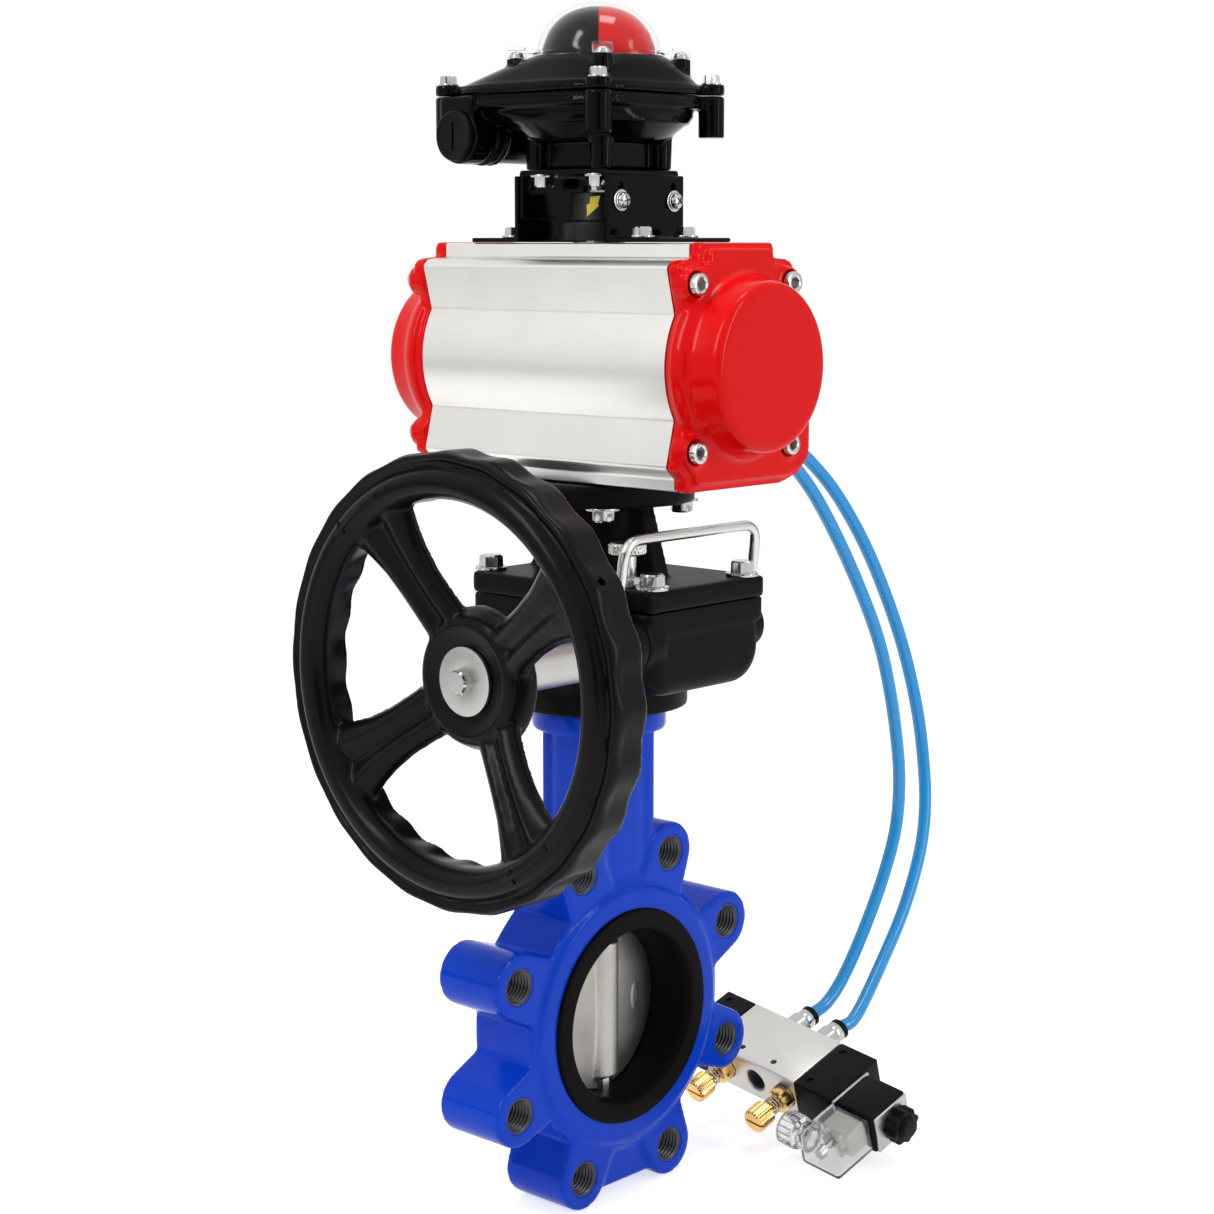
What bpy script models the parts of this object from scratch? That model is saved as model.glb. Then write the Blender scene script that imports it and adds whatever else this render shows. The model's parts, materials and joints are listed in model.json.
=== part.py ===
"""Lug butterfly valve with a declutchable worm gearbox, a rack-and-pinion air actuator,
a limit switch box and a five-port solenoid valve on two air tubes.

Dimensions are in millimetres and are scaled to metres as each mesh is made. The assembly frame
has Z up along the stem, Y along the pipe and its origin at the centre of the valve's bore.
"""

import math

import bmesh
import bpy
from mathutils import Matrix, Vector

MM = 0.001
GAP = 0.3  # clearance between neighbouring pieces

# Butterfly valve, DN80
BORE_R = 40.5
LINER_R = 47.2
LIP_R = 52.0
LIP_Y = 23.0
RING_R = 62.0
RING_Y = 21.0
BODY_R = 66.0
LUG_Y = 19.0
LUG_R = 15.5
LUG_PCD = 160.0
LUG_COUNT = 8
LUG_HOLE_R = 7.0
LUG_STEP_DEG = 22.5  # facets of a lug's round end, which put one flat facet on the floor
NECK_R = 20.5
NECK_TOP = 139.0
TOP_FLANGE_R = 32.0
TOP_FLANGE_Z = 150.0
STEM_R = 6.3
DISC_R = 39.9
DISC_REST_DEG = 6.0
SQUARE = 8.9

# Where the bore's centre stands in the part's own frame, whose origin is the base's centre
LUG_DROP = LUG_PCD / 2 * math.cos(math.radians(22.5)) + LUG_R * math.cos(math.radians(LUG_STEP_DEG / 2))
BORE_CENTRE = (-1.6, 23.6, LUG_DROP)

# Gearbox
BOX_X = 41.0
BOX_FRONT_Y = -68.0
BOX_BACK_Y = 44.7
BOX_BASE_Z = 164.0
COVER_Z = 203.3
COVER_TOP_Z = 213.4
COLUMN_TOP_Z = 257.7
WORM_Y = -54.5
WORM_Z = 185.9
ECCENTRIC = 3.5
SLEEVE_R = 11.5
SLEEVE_Z = WORM_Z + ECCENTRIC
WORM_R = 11.2
WORM_SHAFT_R = 6.7
BAIL_X = 46.0
BAIL_TOP_Y = -58.0
BAIL_TOP_Z = 236.0
BAIL_ROD = 5.0
LOCK_PIN_AT = (-31.0, -45.8)

# Handwheel
WHEEL_R = 96.7
RIM_INNER_R = 76.5
RIM_FRONT_X = -157.9
RIM_BACK_X = -135.6
HUB_FRONT_X = -140.0
HUB_R = 31.0
SHEET = 2.0
SPOKE_COUNT = 4
SPOKE_DEG = 56.0

# Rack-and-pinion actuator
BODY_Y = 76.0
AXIS_Z = 312.3
BASE_Z = 258.3
TOP_Z = 366.1
PISTON_R = 37.2
CYLINDER_R = 37.5
CAP_PLATE_Y = 86.3
CAP_FACE_Y = 104.0
SCREW_X = 32.5
SCREW_DZ = 36.2
PAD_X = 52.0
PORT_Y = 12.0
PORT_Z = 280.0
GEAR_TEETH = 14
GEAR_MODULE = 2.2
GEAR_PITCH_R = GEAR_TEETH * GEAR_MODULE / 2
ADDENDUM = 1.8
DEDENDUM = 2.4
PRESSURE = math.radians(20)
BACKLASH = 0.25

# Switch box and its bracket
FOOT_Z = TOP_Z + GAP
BRACKET_TOP_Z = 399.0
BRACKET_X = 24.0
BRACKET_Y = 27.5
SHELF_Z = 426.7
SPLIT_Z = 432.6
LID_Z = 437.5
DOME_R = 28.3
DOME_TOP_Z = 474.8
BOX_MID_Y = 12.0
POST_AT = [(x, y) for x in (-38.5, 38.5) for y in (-35.0, 59.0)]
CONDUIT_Y = 46.0
CONDUIT_Z = 414.5

# Solenoid valve: corner of its block, and its length, width and thickness directions
VALVE_CORNER = (139.6, 33.8, -32.1)
VALVE_LENGTH_AXIS = (-0.0646, -0.9910, -0.1173)
VALVE_WIDTH_AXIS = (-0.9301, 0.1024, -0.3528)
VALVE_W = 37.7
VALVE_T = 23.6
BLOCK_L0 = 20.7
BLOCK_L1 = 80.3
PILOT_L1 = 105.1
MID_T = 11.8
OUTLET_L = (41.0, 61.5)
EXHAUST_L = (30.7, 72.7)
INLET_L = 51.7
TUBE_D = 7.0

# Sides of round pieces, from the largest to the smallest
HUGE, LARGE, MEDIUM, SMALL, TINY = 36, 28, 18, 12, 8

SCENE = bpy.context.scene


def clear_scene():
    for obj in list(bpy.data.objects):
        bpy.data.objects.remove(obj, do_unlink=True)


def new_collection(name):
    made = bpy.data.collections.new(name)
    SCENE.collection.children.link(made)
    return made


clear_scene()
PARTS = new_collection("automated_butterfly_valve")
CUTTERS = new_collection("cutters")
CUTTERS.hide_render = True


def material(name, colour, roughness, metallic=0.0, alpha=1.0):
    made = bpy.data.materials.new(name)
    made.use_nodes = True
    shader = made.node_tree.nodes["Principled BSDF"]
    shader.inputs["Base Color"].default_value = (*colour, 1.0)
    shader.inputs["Roughness"].default_value = roughness
    shader.inputs["Metallic"].default_value = metallic
    shader.inputs["Alpha"].default_value = alpha
    return made


BLUE = material("blue_epoxy", (0.01, 0.06, 0.55), 0.25)
RUBBER = material("black_rubber", (0.012, 0.012, 0.013), 0.6)
STEEL = material("stainless", (0.62, 0.61, 0.59), 0.3, 1.0)
CAST_STEEL = material("cast_stainless", (0.6, 0.59, 0.57), 0.5, 1.0)
BLACK = material("black_satin", (0.014, 0.014, 0.015), 0.35)
SILVER = material("anodised", (0.62, 0.61, 0.58), 0.4, 1.0)
RED = material("red_paint", (0.75, 0.01, 0.012), 0.2)
BOX_BLACK = material("switch_black", (0.01, 0.01, 0.011), 0.25)
CLEAR = material("clear_plastic", (0.9, 0.92, 0.92), 0.05, 0.0, 0.3)
VALVE_SILVER = material("valve_silver", (0.66, 0.65, 0.6), 0.4, 1.0)
PLASTIC = material("black_plastic", (0.012, 0.012, 0.013), 0.45)
BRASS = material("brass", (0.72, 0.45, 0.16), 0.25, 1.0)
TUBE_BLUE = material("blue_tube", (0.02, 0.35, 0.8), 0.2)
NYLON = material("nylon", (0.75, 0.73, 0.66), 0.5)


def empty(name, at, parent=None, matrix=None):
    """A parent for pieces: a frame, or the axis that a moving piece turns about or slides along."""
    made = bpy.data.objects.new(name, None)
    made.empty_display_size = 0.02
    PARTS.objects.link(made)
    made.parent = parent
    if matrix is not None:
        made.matrix_local = matrix
    made.location = Vector(at) * MM
    return made


def valve_frame():
    length = Vector(VALVE_LENGTH_AXIS).normalized()
    width = Vector(VALVE_WIDTH_AXIS)
    width = (width - width.dot(length) * length).normalized()
    return Matrix((length, width, length.cross(width))).transposed().to_4x4()


ASSEMBLY = empty("assembly", BORE_CENTRE)
SOLENOID = empty("solenoid_frame", VALVE_CORNER, ASSEMBLY, valve_frame())
FRAMES = (ASSEMBLY, SOLENOID)
DRIVE = empty("drive_axis", (0, 0, 0), ASSEMBLY)
SLEEVE_AXIS = empty("sleeve_axis", (0, WORM_Y, SLEEVE_Z), ASSEMBLY)
WHEEL_AXIS = empty("wheel_axis", (0, WORM_Y, WORM_Z), ASSEMBLY)
PIN_AXIS = empty("lock_pin_axis", (*LOCK_PIN_AT, COVER_TOP_Z), ASSEMBLY)
PISTON_AXIS = empty("piston_axis", (0, 0, AXIS_Z), ASSEMBLY)
SPOOL_AXIS = empty("spool_axis", (0, VALVE_W / 2, MID_T), SOLENOID)
NUT_AXIS = empty("coil_nut_axis", (133, 22, 12), SOLENOID)
NEEDLE_AXES = [empty(f"needle_axis_{i}", (at, VALVE_W, MID_T), SOLENOID) for i, at in enumerate(EXHAUST_L)]


def seat(obj, parent):
    """Parents obj so that its mesh keeps the coordinates of the frame that its parent stands in."""
    obj.parent = parent
    if parent not in FRAMES:
        obj.location -= parent.location


def link(name, mesh, finish, parent):
    obj = bpy.data.objects.new(name, mesh)
    if finish is None:
        CUTTERS.objects.link(obj)
        obj.hide_render = True
        obj.display_type = "WIRE"
    else:
        PARTS.objects.link(obj)
        mesh.materials.append(finish)
    seat(obj, parent)
    return obj


def solid(name, bm, finish, parent=ASSEMBLY):
    """An object from a bmesh in millimetres, shaded smooth where it is round."""
    bmesh.ops.recalc_face_normals(bm, faces=bm.faces)
    bmesh.ops.scale(bm, vec=(MM, MM, MM), verts=bm.verts)
    mesh = bpy.data.meshes.new(name)
    bm.to_mesh(mesh)
    bm.free()
    mesh.shade_smooth()
    mesh.set_sharp_from_angle(angle=math.radians(35))
    return link(name, mesh, finish, parent)


def turned(name, profile, finish, at=(0, 0, 0), axis="Z", parent=ASSEMBLY, steps=32):
    """A profile of (radius, height) points turned about an axis through `at`."""
    area = sum(a[0] * b[1] - b[0] * a[1] for a, b in zip(profile, profile[1:] + profile[:1]))
    if area > 0:
        profile = profile[::-1]
    mesh = bpy.data.meshes.new(name)
    ring = profile[0][0] > 0 or profile[-1][0] > 0
    edges = [(i, i + 1) for i in range(len(profile) - 1)]
    if ring:
        edges.append((len(profile) - 1, 0))
    mesh.from_pydata([(r * MM, 0, z * MM) for r, z in profile], edges, [])
    obj = link(name, mesh, finish, parent)
    obj.location += Vector(at) * MM
    if axis == "X":
        obj.rotation_euler = (0, math.pi / 2, 0)
    elif axis == "Y":
        obj.rotation_euler = (-math.pi / 2, 0, 0)
    screw = obj.modifiers.new("Turn", "SCREW")
    screw.steps = steps
    screw.render_steps = steps
    screw.use_merge_vertices = True
    screw.merge_threshold = 0.00001
    screw.use_smooth_shade = True
    return obj


def rod(bm, start, end, radius, sides=16, end_radius=None):
    """Adds a round or many-sided bar between two points."""
    start, end = Vector(start), Vector(end)
    along = end - start
    turn = along.to_track_quat("Z", "Y").to_matrix().to_4x4()
    bmesh.ops.create_cone(
        bm,
        cap_ends=True,
        segments=sides,
        radius1=radius,
        radius2=radius if end_radius is None else end_radius,
        depth=along.length,
        matrix=Matrix.Translation((start + end) / 2) @ turn,
    )
    return bm


def block(bm, low, high, bevel=0.0, segments=2, edges=None):
    """Adds a box, with the edges that `edges` picks by their middle and direction rounded."""
    low, high = Vector(low), Vector(high)
    size = high - low
    matrix = Matrix.Translation((low + high) / 2) @ Matrix.Diagonal((*size, 1))
    made = bmesh.ops.create_cube(bm, size=1, matrix=matrix)
    if bevel:
        found = {edge for vert in made["verts"] for edge in vert.link_edges}
        if edges:
            found = {e for e in found if edges((e.verts[0].co + e.verts[1].co) / 2, e.verts[0].co - e.verts[1].co)}
        bmesh.ops.bevel(bm, geom=list(found), offset=bevel, segments=segments, profile=0.5, affect="EDGES")
    return bm


def upright(_middle, along):
    return abs(along.z) > max(abs(along.x), abs(along.y))


def prism(bm, loops, low, high, axis="Z"):
    """Adds flat outlines, the first with the others as holes, extruded along an axis."""
    curve = bpy.data.curves.new("outline", "CURVE")
    curve.dimensions = "2D"
    curve.fill_mode = "BOTH"
    curve.extrude = (high - low) / 2
    for loop in loops:
        spline = curve.splines.new("POLY")
        spline.points.add(len(loop) - 1)
        for point, (u, v) in zip(spline.points, loop):
            point.co = (u, v, 0, 1)
        spline.use_cyclic_u = True
    obj = bpy.data.objects.new("outline", curve)
    SCENE.collection.objects.link(obj)
    graph = bpy.context.evaluated_depsgraph_get()
    mesh = bpy.data.meshes.new_from_object(obj.evaluated_get(graph))
    turn = {
        "Z": Matrix.Identity(4),
        "Y": Matrix.Rotation(math.pi / 2, 4, "X"),
        "X": Matrix.Rotation(math.pi / 2, 4, "Z") @ Matrix.Rotation(math.pi / 2, 4, "X"),
    }[axis]
    middle = (low + high) / 2
    mesh.transform(turn)
    mesh.transform(Matrix.Translation({"Z": (0, 0, middle), "Y": (0, middle, 0), "X": (middle, 0, 0)}[axis]))
    bm.from_mesh(mesh)
    bmesh.ops.remove_doubles(bm, verts=bm.verts, dist=0.001)
    bpy.data.objects.remove(obj)
    bpy.data.curves.remove(curve)
    bpy.data.meshes.remove(mesh)
    return bm


def loft(bm, sections):
    """Adds a skin over closed sections of equal point counts, with flat ends."""
    rings = [[bm.verts.new(point) for point in section] for section in sections]
    for lower, upper in zip(rings, rings[1:]):
        for i in range(len(lower)):
            j = (i + 1) % len(lower)
            bm.faces.new((lower[i], lower[j], upper[j], upper[i]))
    bm.faces.new(rings[0][::-1])
    bm.faces.new(rings[-1])
    return bm


def boolean(obj, tool, operation):
    step = obj.modifiers.new(operation.title(), "BOOLEAN")
    step.operation = operation
    step.solver = "EXACT"
    step.use_self = True
    step.object = tool


def cut(obj, bm):
    parent = obj.parent if obj.parent in FRAMES else obj.parent.parent
    boolean(obj, solid(f"{obj.name}_cut", bm, None, parent), "DIFFERENCE")


def fuse(obj, bm):
    parent = obj.parent if obj.parent in FRAMES else obj.parent.parent
    boolean(obj, solid(f"{obj.name}_add", bm, None, parent), "UNION")


def arc(cx, cy, radius, start_deg, end_deg, steps):
    return [
        (
            cx + radius * math.cos(math.radians(start_deg + (end_deg - start_deg) * i / steps)),
            cy + radius * math.sin(math.radians(start_deg + (end_deg - start_deg) * i / steps)),
        )
        for i in range(steps + 1)
    ]


def hexagon(flats, cx=0.0, cy=0.0):
    radius = flats / math.sqrt(3)
    return [(cx + radius * math.cos(math.pi * i / 3), cy + radius * math.sin(math.pi * i / 3)) for i in range(6)]


def superellipse(half_x, half_y, power, z, cy=0.0, count=24):
    """A level section between an ellipse (power 2) and a rounded rectangle."""
    points = []
    for i in range(count):
        angle = 2 * math.pi * (i + 0.5) / count
        c, s = math.cos(angle), math.sin(angle)
        x = half_x * math.copysign(abs(c) ** (2 / power), c)
        y = half_y * math.copysign(abs(s) ** (2 / power), s)
        points.append(Vector((x, y + cy, z)))
    return points


# ---------------------------------------------------------------- butterfly valve


def lug_centres():
    for i in range(LUG_COUNT):
        angle = math.radians(22.5 + 45 * i)
        yield LUG_PCD / 2 * math.cos(angle), LUG_PCD / 2 * math.sin(angle)


def lug_outline():
    """The eight lugs as one outline: a round end each, and sides that flare to the ring."""
    root_r = RING_R + 0.6
    flare = 19.0
    reach = 3.5 * LUG_STEP_DEG
    outline = []
    for i in range(LUG_COUNT):
        middle = 22.5 + 45 * i
        cx = LUG_PCD / 2 * math.cos(math.radians(middle))
        cy = LUG_PCD / 2 * math.sin(math.radians(middle))
        outline += arc(0, 0, root_r, middle - flare - 2.5, middle - flare, 1)
        outline += arc(cx, cy, LUG_R, middle - reach, middle + reach, 7)
        outline += arc(0, 0, root_r, middle + flare, middle + flare, 1)[:1]
    return outline


def make_valve_body():
    profile = [
        (LINER_R + GAP, RING_Y),
        (RING_R, RING_Y),
        (RING_R + 1.2, LUG_Y - 1),
        (BODY_R - 1.5, 16.5),
        (BODY_R - 1.5, -16.5),
        (RING_R + 1.2, 1 - LUG_Y),
        (RING_R, -RING_Y),
        (LINER_R + GAP, -RING_Y),
    ]
    body = turned("valve_body", profile, BLUE, axis="Y", steps=HUGE)
    lugs = prism(bmesh.new(), [lug_outline(), arc(0, 0, 56, 0, 345, 23)], -LUG_Y, LUG_Y, "Y")
    fuse(body, lugs)
    fuse(body, block(bmesh.new(), (-30, -17, -83.5), (30, 17, -60), 2, 1))
    neck = loft(
        bmesh.new(),
        [superellipse(half, 18, 3, z, count=16) for half, z in ((NECK_R + 3, 58), (NECK_R, 78), (NECK_R, 141))],
    )
    fuse(body, neck)
    fuse(body, rod(bmesh.new(), (0, 0, NECK_TOP), (0, 0, TOP_FLANGE_Z), TOP_FLANGE_R, LARGE))
    holes = bmesh.new()
    for x, z in lug_centres():
        rod(holes, (x, -30, z), (x, 30, z), LUG_HOLE_R, SMALL)
    rod(holes, (0, 0, 40), (0, 0, 122), STEM_R + GAP, SMALL)
    rod(holes, (0, 0, 120), (0, 0, 160), STEM_R + 2.8, SMALL)
    rod(holes, (0, 0, -40), (0, 0, -58), STEM_R + GAP, SMALL)
    cut(body, holes)


def make_liner():
    profile = [
        (44.5, LIP_Y),
        (LIP_R, LIP_Y),
        (LIP_R, RING_Y + GAP),
        (LINER_R, RING_Y + GAP),
        (LINER_R, -RING_Y - GAP),
        (LIP_R, -RING_Y - GAP),
        (LIP_R, -LIP_Y),
        (44.5, -LIP_Y),
        (42.0, -20.5),
        (BORE_R, -17.0),
        (BORE_R, 17.0),
        (42.0, 20.5),
    ]
    liner = turned("seat_liner", profile, RUBBER, axis="Y", steps=HUGE)
    cut(liner, rod(bmesh.new(), (0, 0, -50), (0, 0, 50), STEM_R + GAP, SMALL))


def make_disc():
    turn = math.radians(DISC_REST_DEG)
    profile = [(0, 4.5), (DISC_R - 1.5, 2.4), (DISC_R, 1.0)]
    profile += [(r, -y) for r, y in reversed(profile)]
    disc = turned("valve_disc", profile, CAST_STEEL, axis="Y", parent=DRIVE, steps=HUGE)
    disc.rotation_mode = "QUATERNION"
    tilt = Matrix.Rotation(turn, 4, "Z") @ Matrix.Rotation(-math.pi / 2, 4, "X")
    disc.rotation_quaternion = tilt.to_quaternion()
    fuse(disc, rod(bmesh.new(), (0, 0, -37.6), (0, 0, 37.6), 9.2, MEDIUM))
    holes = bmesh.new()
    rod(holes, (0, 0, 20), (0, 0, 45), STEM_R + GAP, SMALL)
    rod(holes, (0, 0, -20), (0, 0, -45), STEM_R + GAP, SMALL)
    cut(disc, holes)


def square_bar(bm, side, low, high):
    return block(bm, (-side / 2, -side / 2, low), (side / 2, side / 2, high))


def make_stems():
    stem = solid("valve_stem", rod(bmesh.new(), (0, 0, 21), (0, 0, 152), STEM_R, SMALL), STEEL, DRIVE)
    fuse(stem, square_bar(bmesh.new(), SQUARE, 150, 185))
    solid("lower_stem", rod(bmesh.new(), (0, 0, -57.5), (0, 0, -21), STEM_R, SMALL), STEEL, DRIVE)
    bush = [(STEM_R + GAP, 149.7), (STEM_R + 2.5, 149.7), (STEM_R + 2.5, 122.4), (STEM_R + GAP, 122.4)]
    turned("stem_bush", bush, NYLON, steps=SMALL)


# ---------------------------------------------------------------- gearbox


def make_housing():
    def lower(middle, along):
        return middle.z < BOX_BASE_Z + 1 and abs(along.y) > abs(along.x)

    shell = block(
        bmesh.new(), (-BOX_X + 0.7, BOX_FRONT_Y + 0.5, BOX_BASE_Z), (BOX_X - 0.7, BOX_BACK_Y - 0.5, COVER_Z - GAP),
        13, 4, lower,
    )
    housing = solid("gearbox_housing", shell, BLACK)
    fuse(housing, rod(bmesh.new(), (0, 0, TOP_FLANGE_Z + GAP), (0, 0, BOX_BASE_Z + 4), 42, LARGE))
    hollow = block(bmesh.new(), (-38.2, -66.2, 171), (38.2, 40.5, 210), 6, 1, upright)
    cut(housing, hollow)
    bores = rod(bmesh.new(), (0, 0, 140), (0, 0, 175), 12, MEDIUM)
    rod(bores, (-60, WORM_Y, SLEEVE_Z), (60, WORM_Y, SLEEVE_Z), SLEEVE_R + GAP, MEDIUM)
    cut(housing, bores)


def make_cover():
    plate = block(
        bmesh.new(), (-41.4, BOX_FRONT_Y, COVER_Z), (41.4, BOX_BACK_Y, COVER_TOP_Z), 5, 2, upright
    )
    cover = solid("gearbox_cover", plate, BLACK)
    column = rod(bmesh.new(), (0, 0, COVER_TOP_Z - 3), (0, 0, 250), 25.5, LARGE)
    rod(column, (0, 0, 247), (0, 0, COLUMN_TOP_Z), 45, HUGE)
    for side in (1, -1):
        rib = [(side * 10, COVER_TOP_Z - 2), (side * 41, COVER_TOP_Z - 2), (side * 29.5, 248), (side * 10, 248)]
        prism(column, [rib], -5, 5, "Y")
        prism(column, [[(y * 0.95, z) for y, z in rib]], -5, 5, "X")
    fuse(cover, column)
    cut(cover, rod(bmesh.new(), (0, 0, 190), (0, 0, 270), 14.5, MEDIUM))
    pin_hole = rod(bmesh.new(), (*LOCK_PIN_AT, 195), (*LOCK_PIN_AT, 220), 2.8, TINY)
    cut(cover, pin_hole)
    bolt_holes = bmesh.new()
    for x, y in bolt_places():
        rod(bolt_holes, (x, y, 195), (x, y, 220), 3.3, TINY)
    cut(cover, bolt_holes)


def bolt_places():
    return [(x, y) for x in (-31.4, 31.4) for y in (-61.2, 40.5)]


def make_worm_gear():
    teeth = 24
    tip, root = 37.5, 34.6
    outline = []
    for i in range(teeth):
        middle = 360 * i / teeth
        outline += arc(0, 0, root, middle - 4.9, middle - 4.9, 1)[:1]
        outline += arc(0, 0, tip, middle - 2.4, middle + 2.4, 1)
        outline += arc(0, 0, root, middle + 4.9, middle + 4.9, 1)[:1]
    gear = solid("worm_wheel", prism(bmesh.new(), [outline], 180, 193), BRASS, DRIVE)
    fuse(gear, rod(bmesh.new(), (0, 0, 172), (0, 0, 200), 13.5, MEDIUM))
    hole = SQUARE / 2 + GAP
    cut(gear, block(bmesh.new(), (-hole, -hole, 165), (hole, hole, 210)))


def make_worm():
    """A single-start thread: an off-centre circle that turns as it moves along the axis."""
    pitch, turns, per_turn, sides = 9.0, 3, 6, 10
    depth = 2.2
    start = -pitch * turns / 2
    sections = []
    for i in range(turns * per_turn + 1):
        angle = 2 * math.pi * i / per_turn
        cy, cz = depth / 2 * math.cos(angle), depth / 2 * math.sin(angle)
        ring = arc(WORM_Y + cy, WORM_Z + cz, WORM_R - depth / 2, 0, 360 - 360 / sides, sides - 1)
        sections.append([Vector((start + pitch * i / per_turn, y, z)) for y, z in ring])
    worm = solid("worm_shaft", loft(bmesh.new(), sections), STEEL, WHEEL_AXIS)
    fuse(worm, rod(bmesh.new(), (-127, WORM_Y, WORM_Z), (57, WORM_Y, WORM_Z), WORM_SHAFT_R, SMALL))
    fuse(worm, rod(bmesh.new(), (-128, WORM_Y, WORM_Z), (-58, WORM_Y, WORM_Z), 9.5, MEDIUM))


def make_sleeves():
    """The two journals that carry the worm off their own axis, with the bail's ends in their flanges."""
    for side, name in ((-1, "sleeve_left"), (1, "sleeve_right")):
        bush = rod(bmesh.new(), (side * 32, WORM_Y, SLEEVE_Z), (side * 50, WORM_Y, SLEEVE_Z), SLEEVE_R, MEDIUM)
        sleeve = solid(name, bush, STEEL, SLEEVE_AXIS)
        flange = rod(bmesh.new(), (side * 42.3, WORM_Y, SLEEVE_Z), (side * 49.5, WORM_Y, SLEEVE_Z), 14.8, MEDIUM)
        fuse(sleeve, flange)
        bore = rod(bmesh.new(), (side * 20, WORM_Y, WORM_Z), (side * 60, WORM_Y, WORM_Z), WORM_SHAFT_R + GAP, SMALL)
        cut(sleeve, bore)
        socket = rod(bmesh.new(), (side * BAIL_X, WORM_Y, SLEEVE_Z + 9.3), (side * BAIL_X, WORM_Y, 215), 2.8, TINY)
        cut(sleeve, socket)


def make_bail():
    foot = Vector((BAIL_X, WORM_Y, SLEEVE_Z + 9.8))
    shoulder = Vector((BAIL_X, BAIL_TOP_Y, BAIL_TOP_Z))
    start = foot + Vector((0, 0, 8))
    bend, steps = 10.0, 4
    down = (start - shoulder).normalized()
    side = [foot, start]
    for i in range(steps + 1):
        angle = math.pi / 2 * i / steps
        inward = bend * (1 - math.cos(angle))
        drop = bend * (1 - math.sin(angle))
        side.append(shoulder + Vector((-inward, 0, 0)) + down * drop)
    points = side + [Vector((-p.x, p.y, p.z)) for p in reversed(side)]
    curve = bpy.data.curves.new("clutch_bail", "CURVE")
    curve.dimensions = "3D"
    curve.bevel_depth = BAIL_ROD / 2 * MM
    curve.bevel_resolution = 2
    curve.use_fill_caps = True
    spline = curve.splines.new("POLY")
    spline.points.add(len(points) - 1)
    for point, at in zip(spline.points, points):
        point.co = (*(at * MM), 1)
    curve.materials.append(STEEL)
    bail = bpy.data.objects.new("clutch_bail", curve)
    PARTS.objects.link(bail)
    seat(bail, SLEEVE_AXIS)


def make_lock_pin():
    x, y = LOCK_PIN_AT
    base = rod(bmesh.new(), (x, y, COVER_TOP_Z + GAP), (x, y, 217.5), 6.6, 6)
    rod_hole = rod(bmesh.new(), (x, y, 205), (x, y, 225), 2.8, TINY)
    cut(solid("lock_pin_base", base, STEEL), rod_hole)
    profile = [
        (0, 233.3),
        (8.6, 233.3),
        (8.6, 227.8),
        (4.0, 227.8),
        (4.0, 217.8),
        (2.5, 217.8),
        (2.5, 200.0),
        (0, 200.0),
    ]
    turned("lock_pin", profile, STEEL, at=(x, y, 0), parent=PIN_AXIS, steps=MEDIUM)


def make_drive_shaft():
    shaft = solid("drive_shaft", rod(bmesh.new(), (0, 0, 200.5), (0, 0, 258), 9.5, MEDIUM), STEEL, DRIVE)
    fuse(shaft, square_bar(bmesh.new(), SQUARE, 186, 201))
    fuse(shaft, square_bar(bmesh.new(), 13, 257, 275))


# ---------------------------------------------------------------- handwheel


def wheel_point(radius, degrees, x):
    angle = math.radians(degrees)
    return Vector((x, WORM_Y + radius * math.cos(angle), WORM_Z + radius * math.sin(angle)))


def spoke(degrees):
    """A pressed channel: two ridges beside a middle groove, flaring into the rim."""
    stations = [(22, 13.0, -139.5), (34, 12.0, -142.5), (52, 12.5, -146.5), (66, 15.5, -149.0), (81, 22.0, -150.0)]
    across = [(-1.0, 5.0), (-0.75, 0.5), (-0.45, -1.5), (0.0, 2.0), (0.45, -1.5), (0.75, 0.5), (1.0, 5.0)]
    along = Vector((0, math.cos(math.radians(degrees)), math.sin(math.radians(degrees))))
    sideways = Vector((0, -along.z, along.y))
    centre = Vector((0, WORM_Y, WORM_Z))
    sections = []
    for radius, half, x in stations:
        front = [centre + along * radius + sideways * half * v + Vector((x + dx, 0, 0)) for v, dx in across]
        back = [point + Vector((SHEET, 0, 0)) for point in reversed(front)]
        sections.append(front + back)
    return sections


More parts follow.
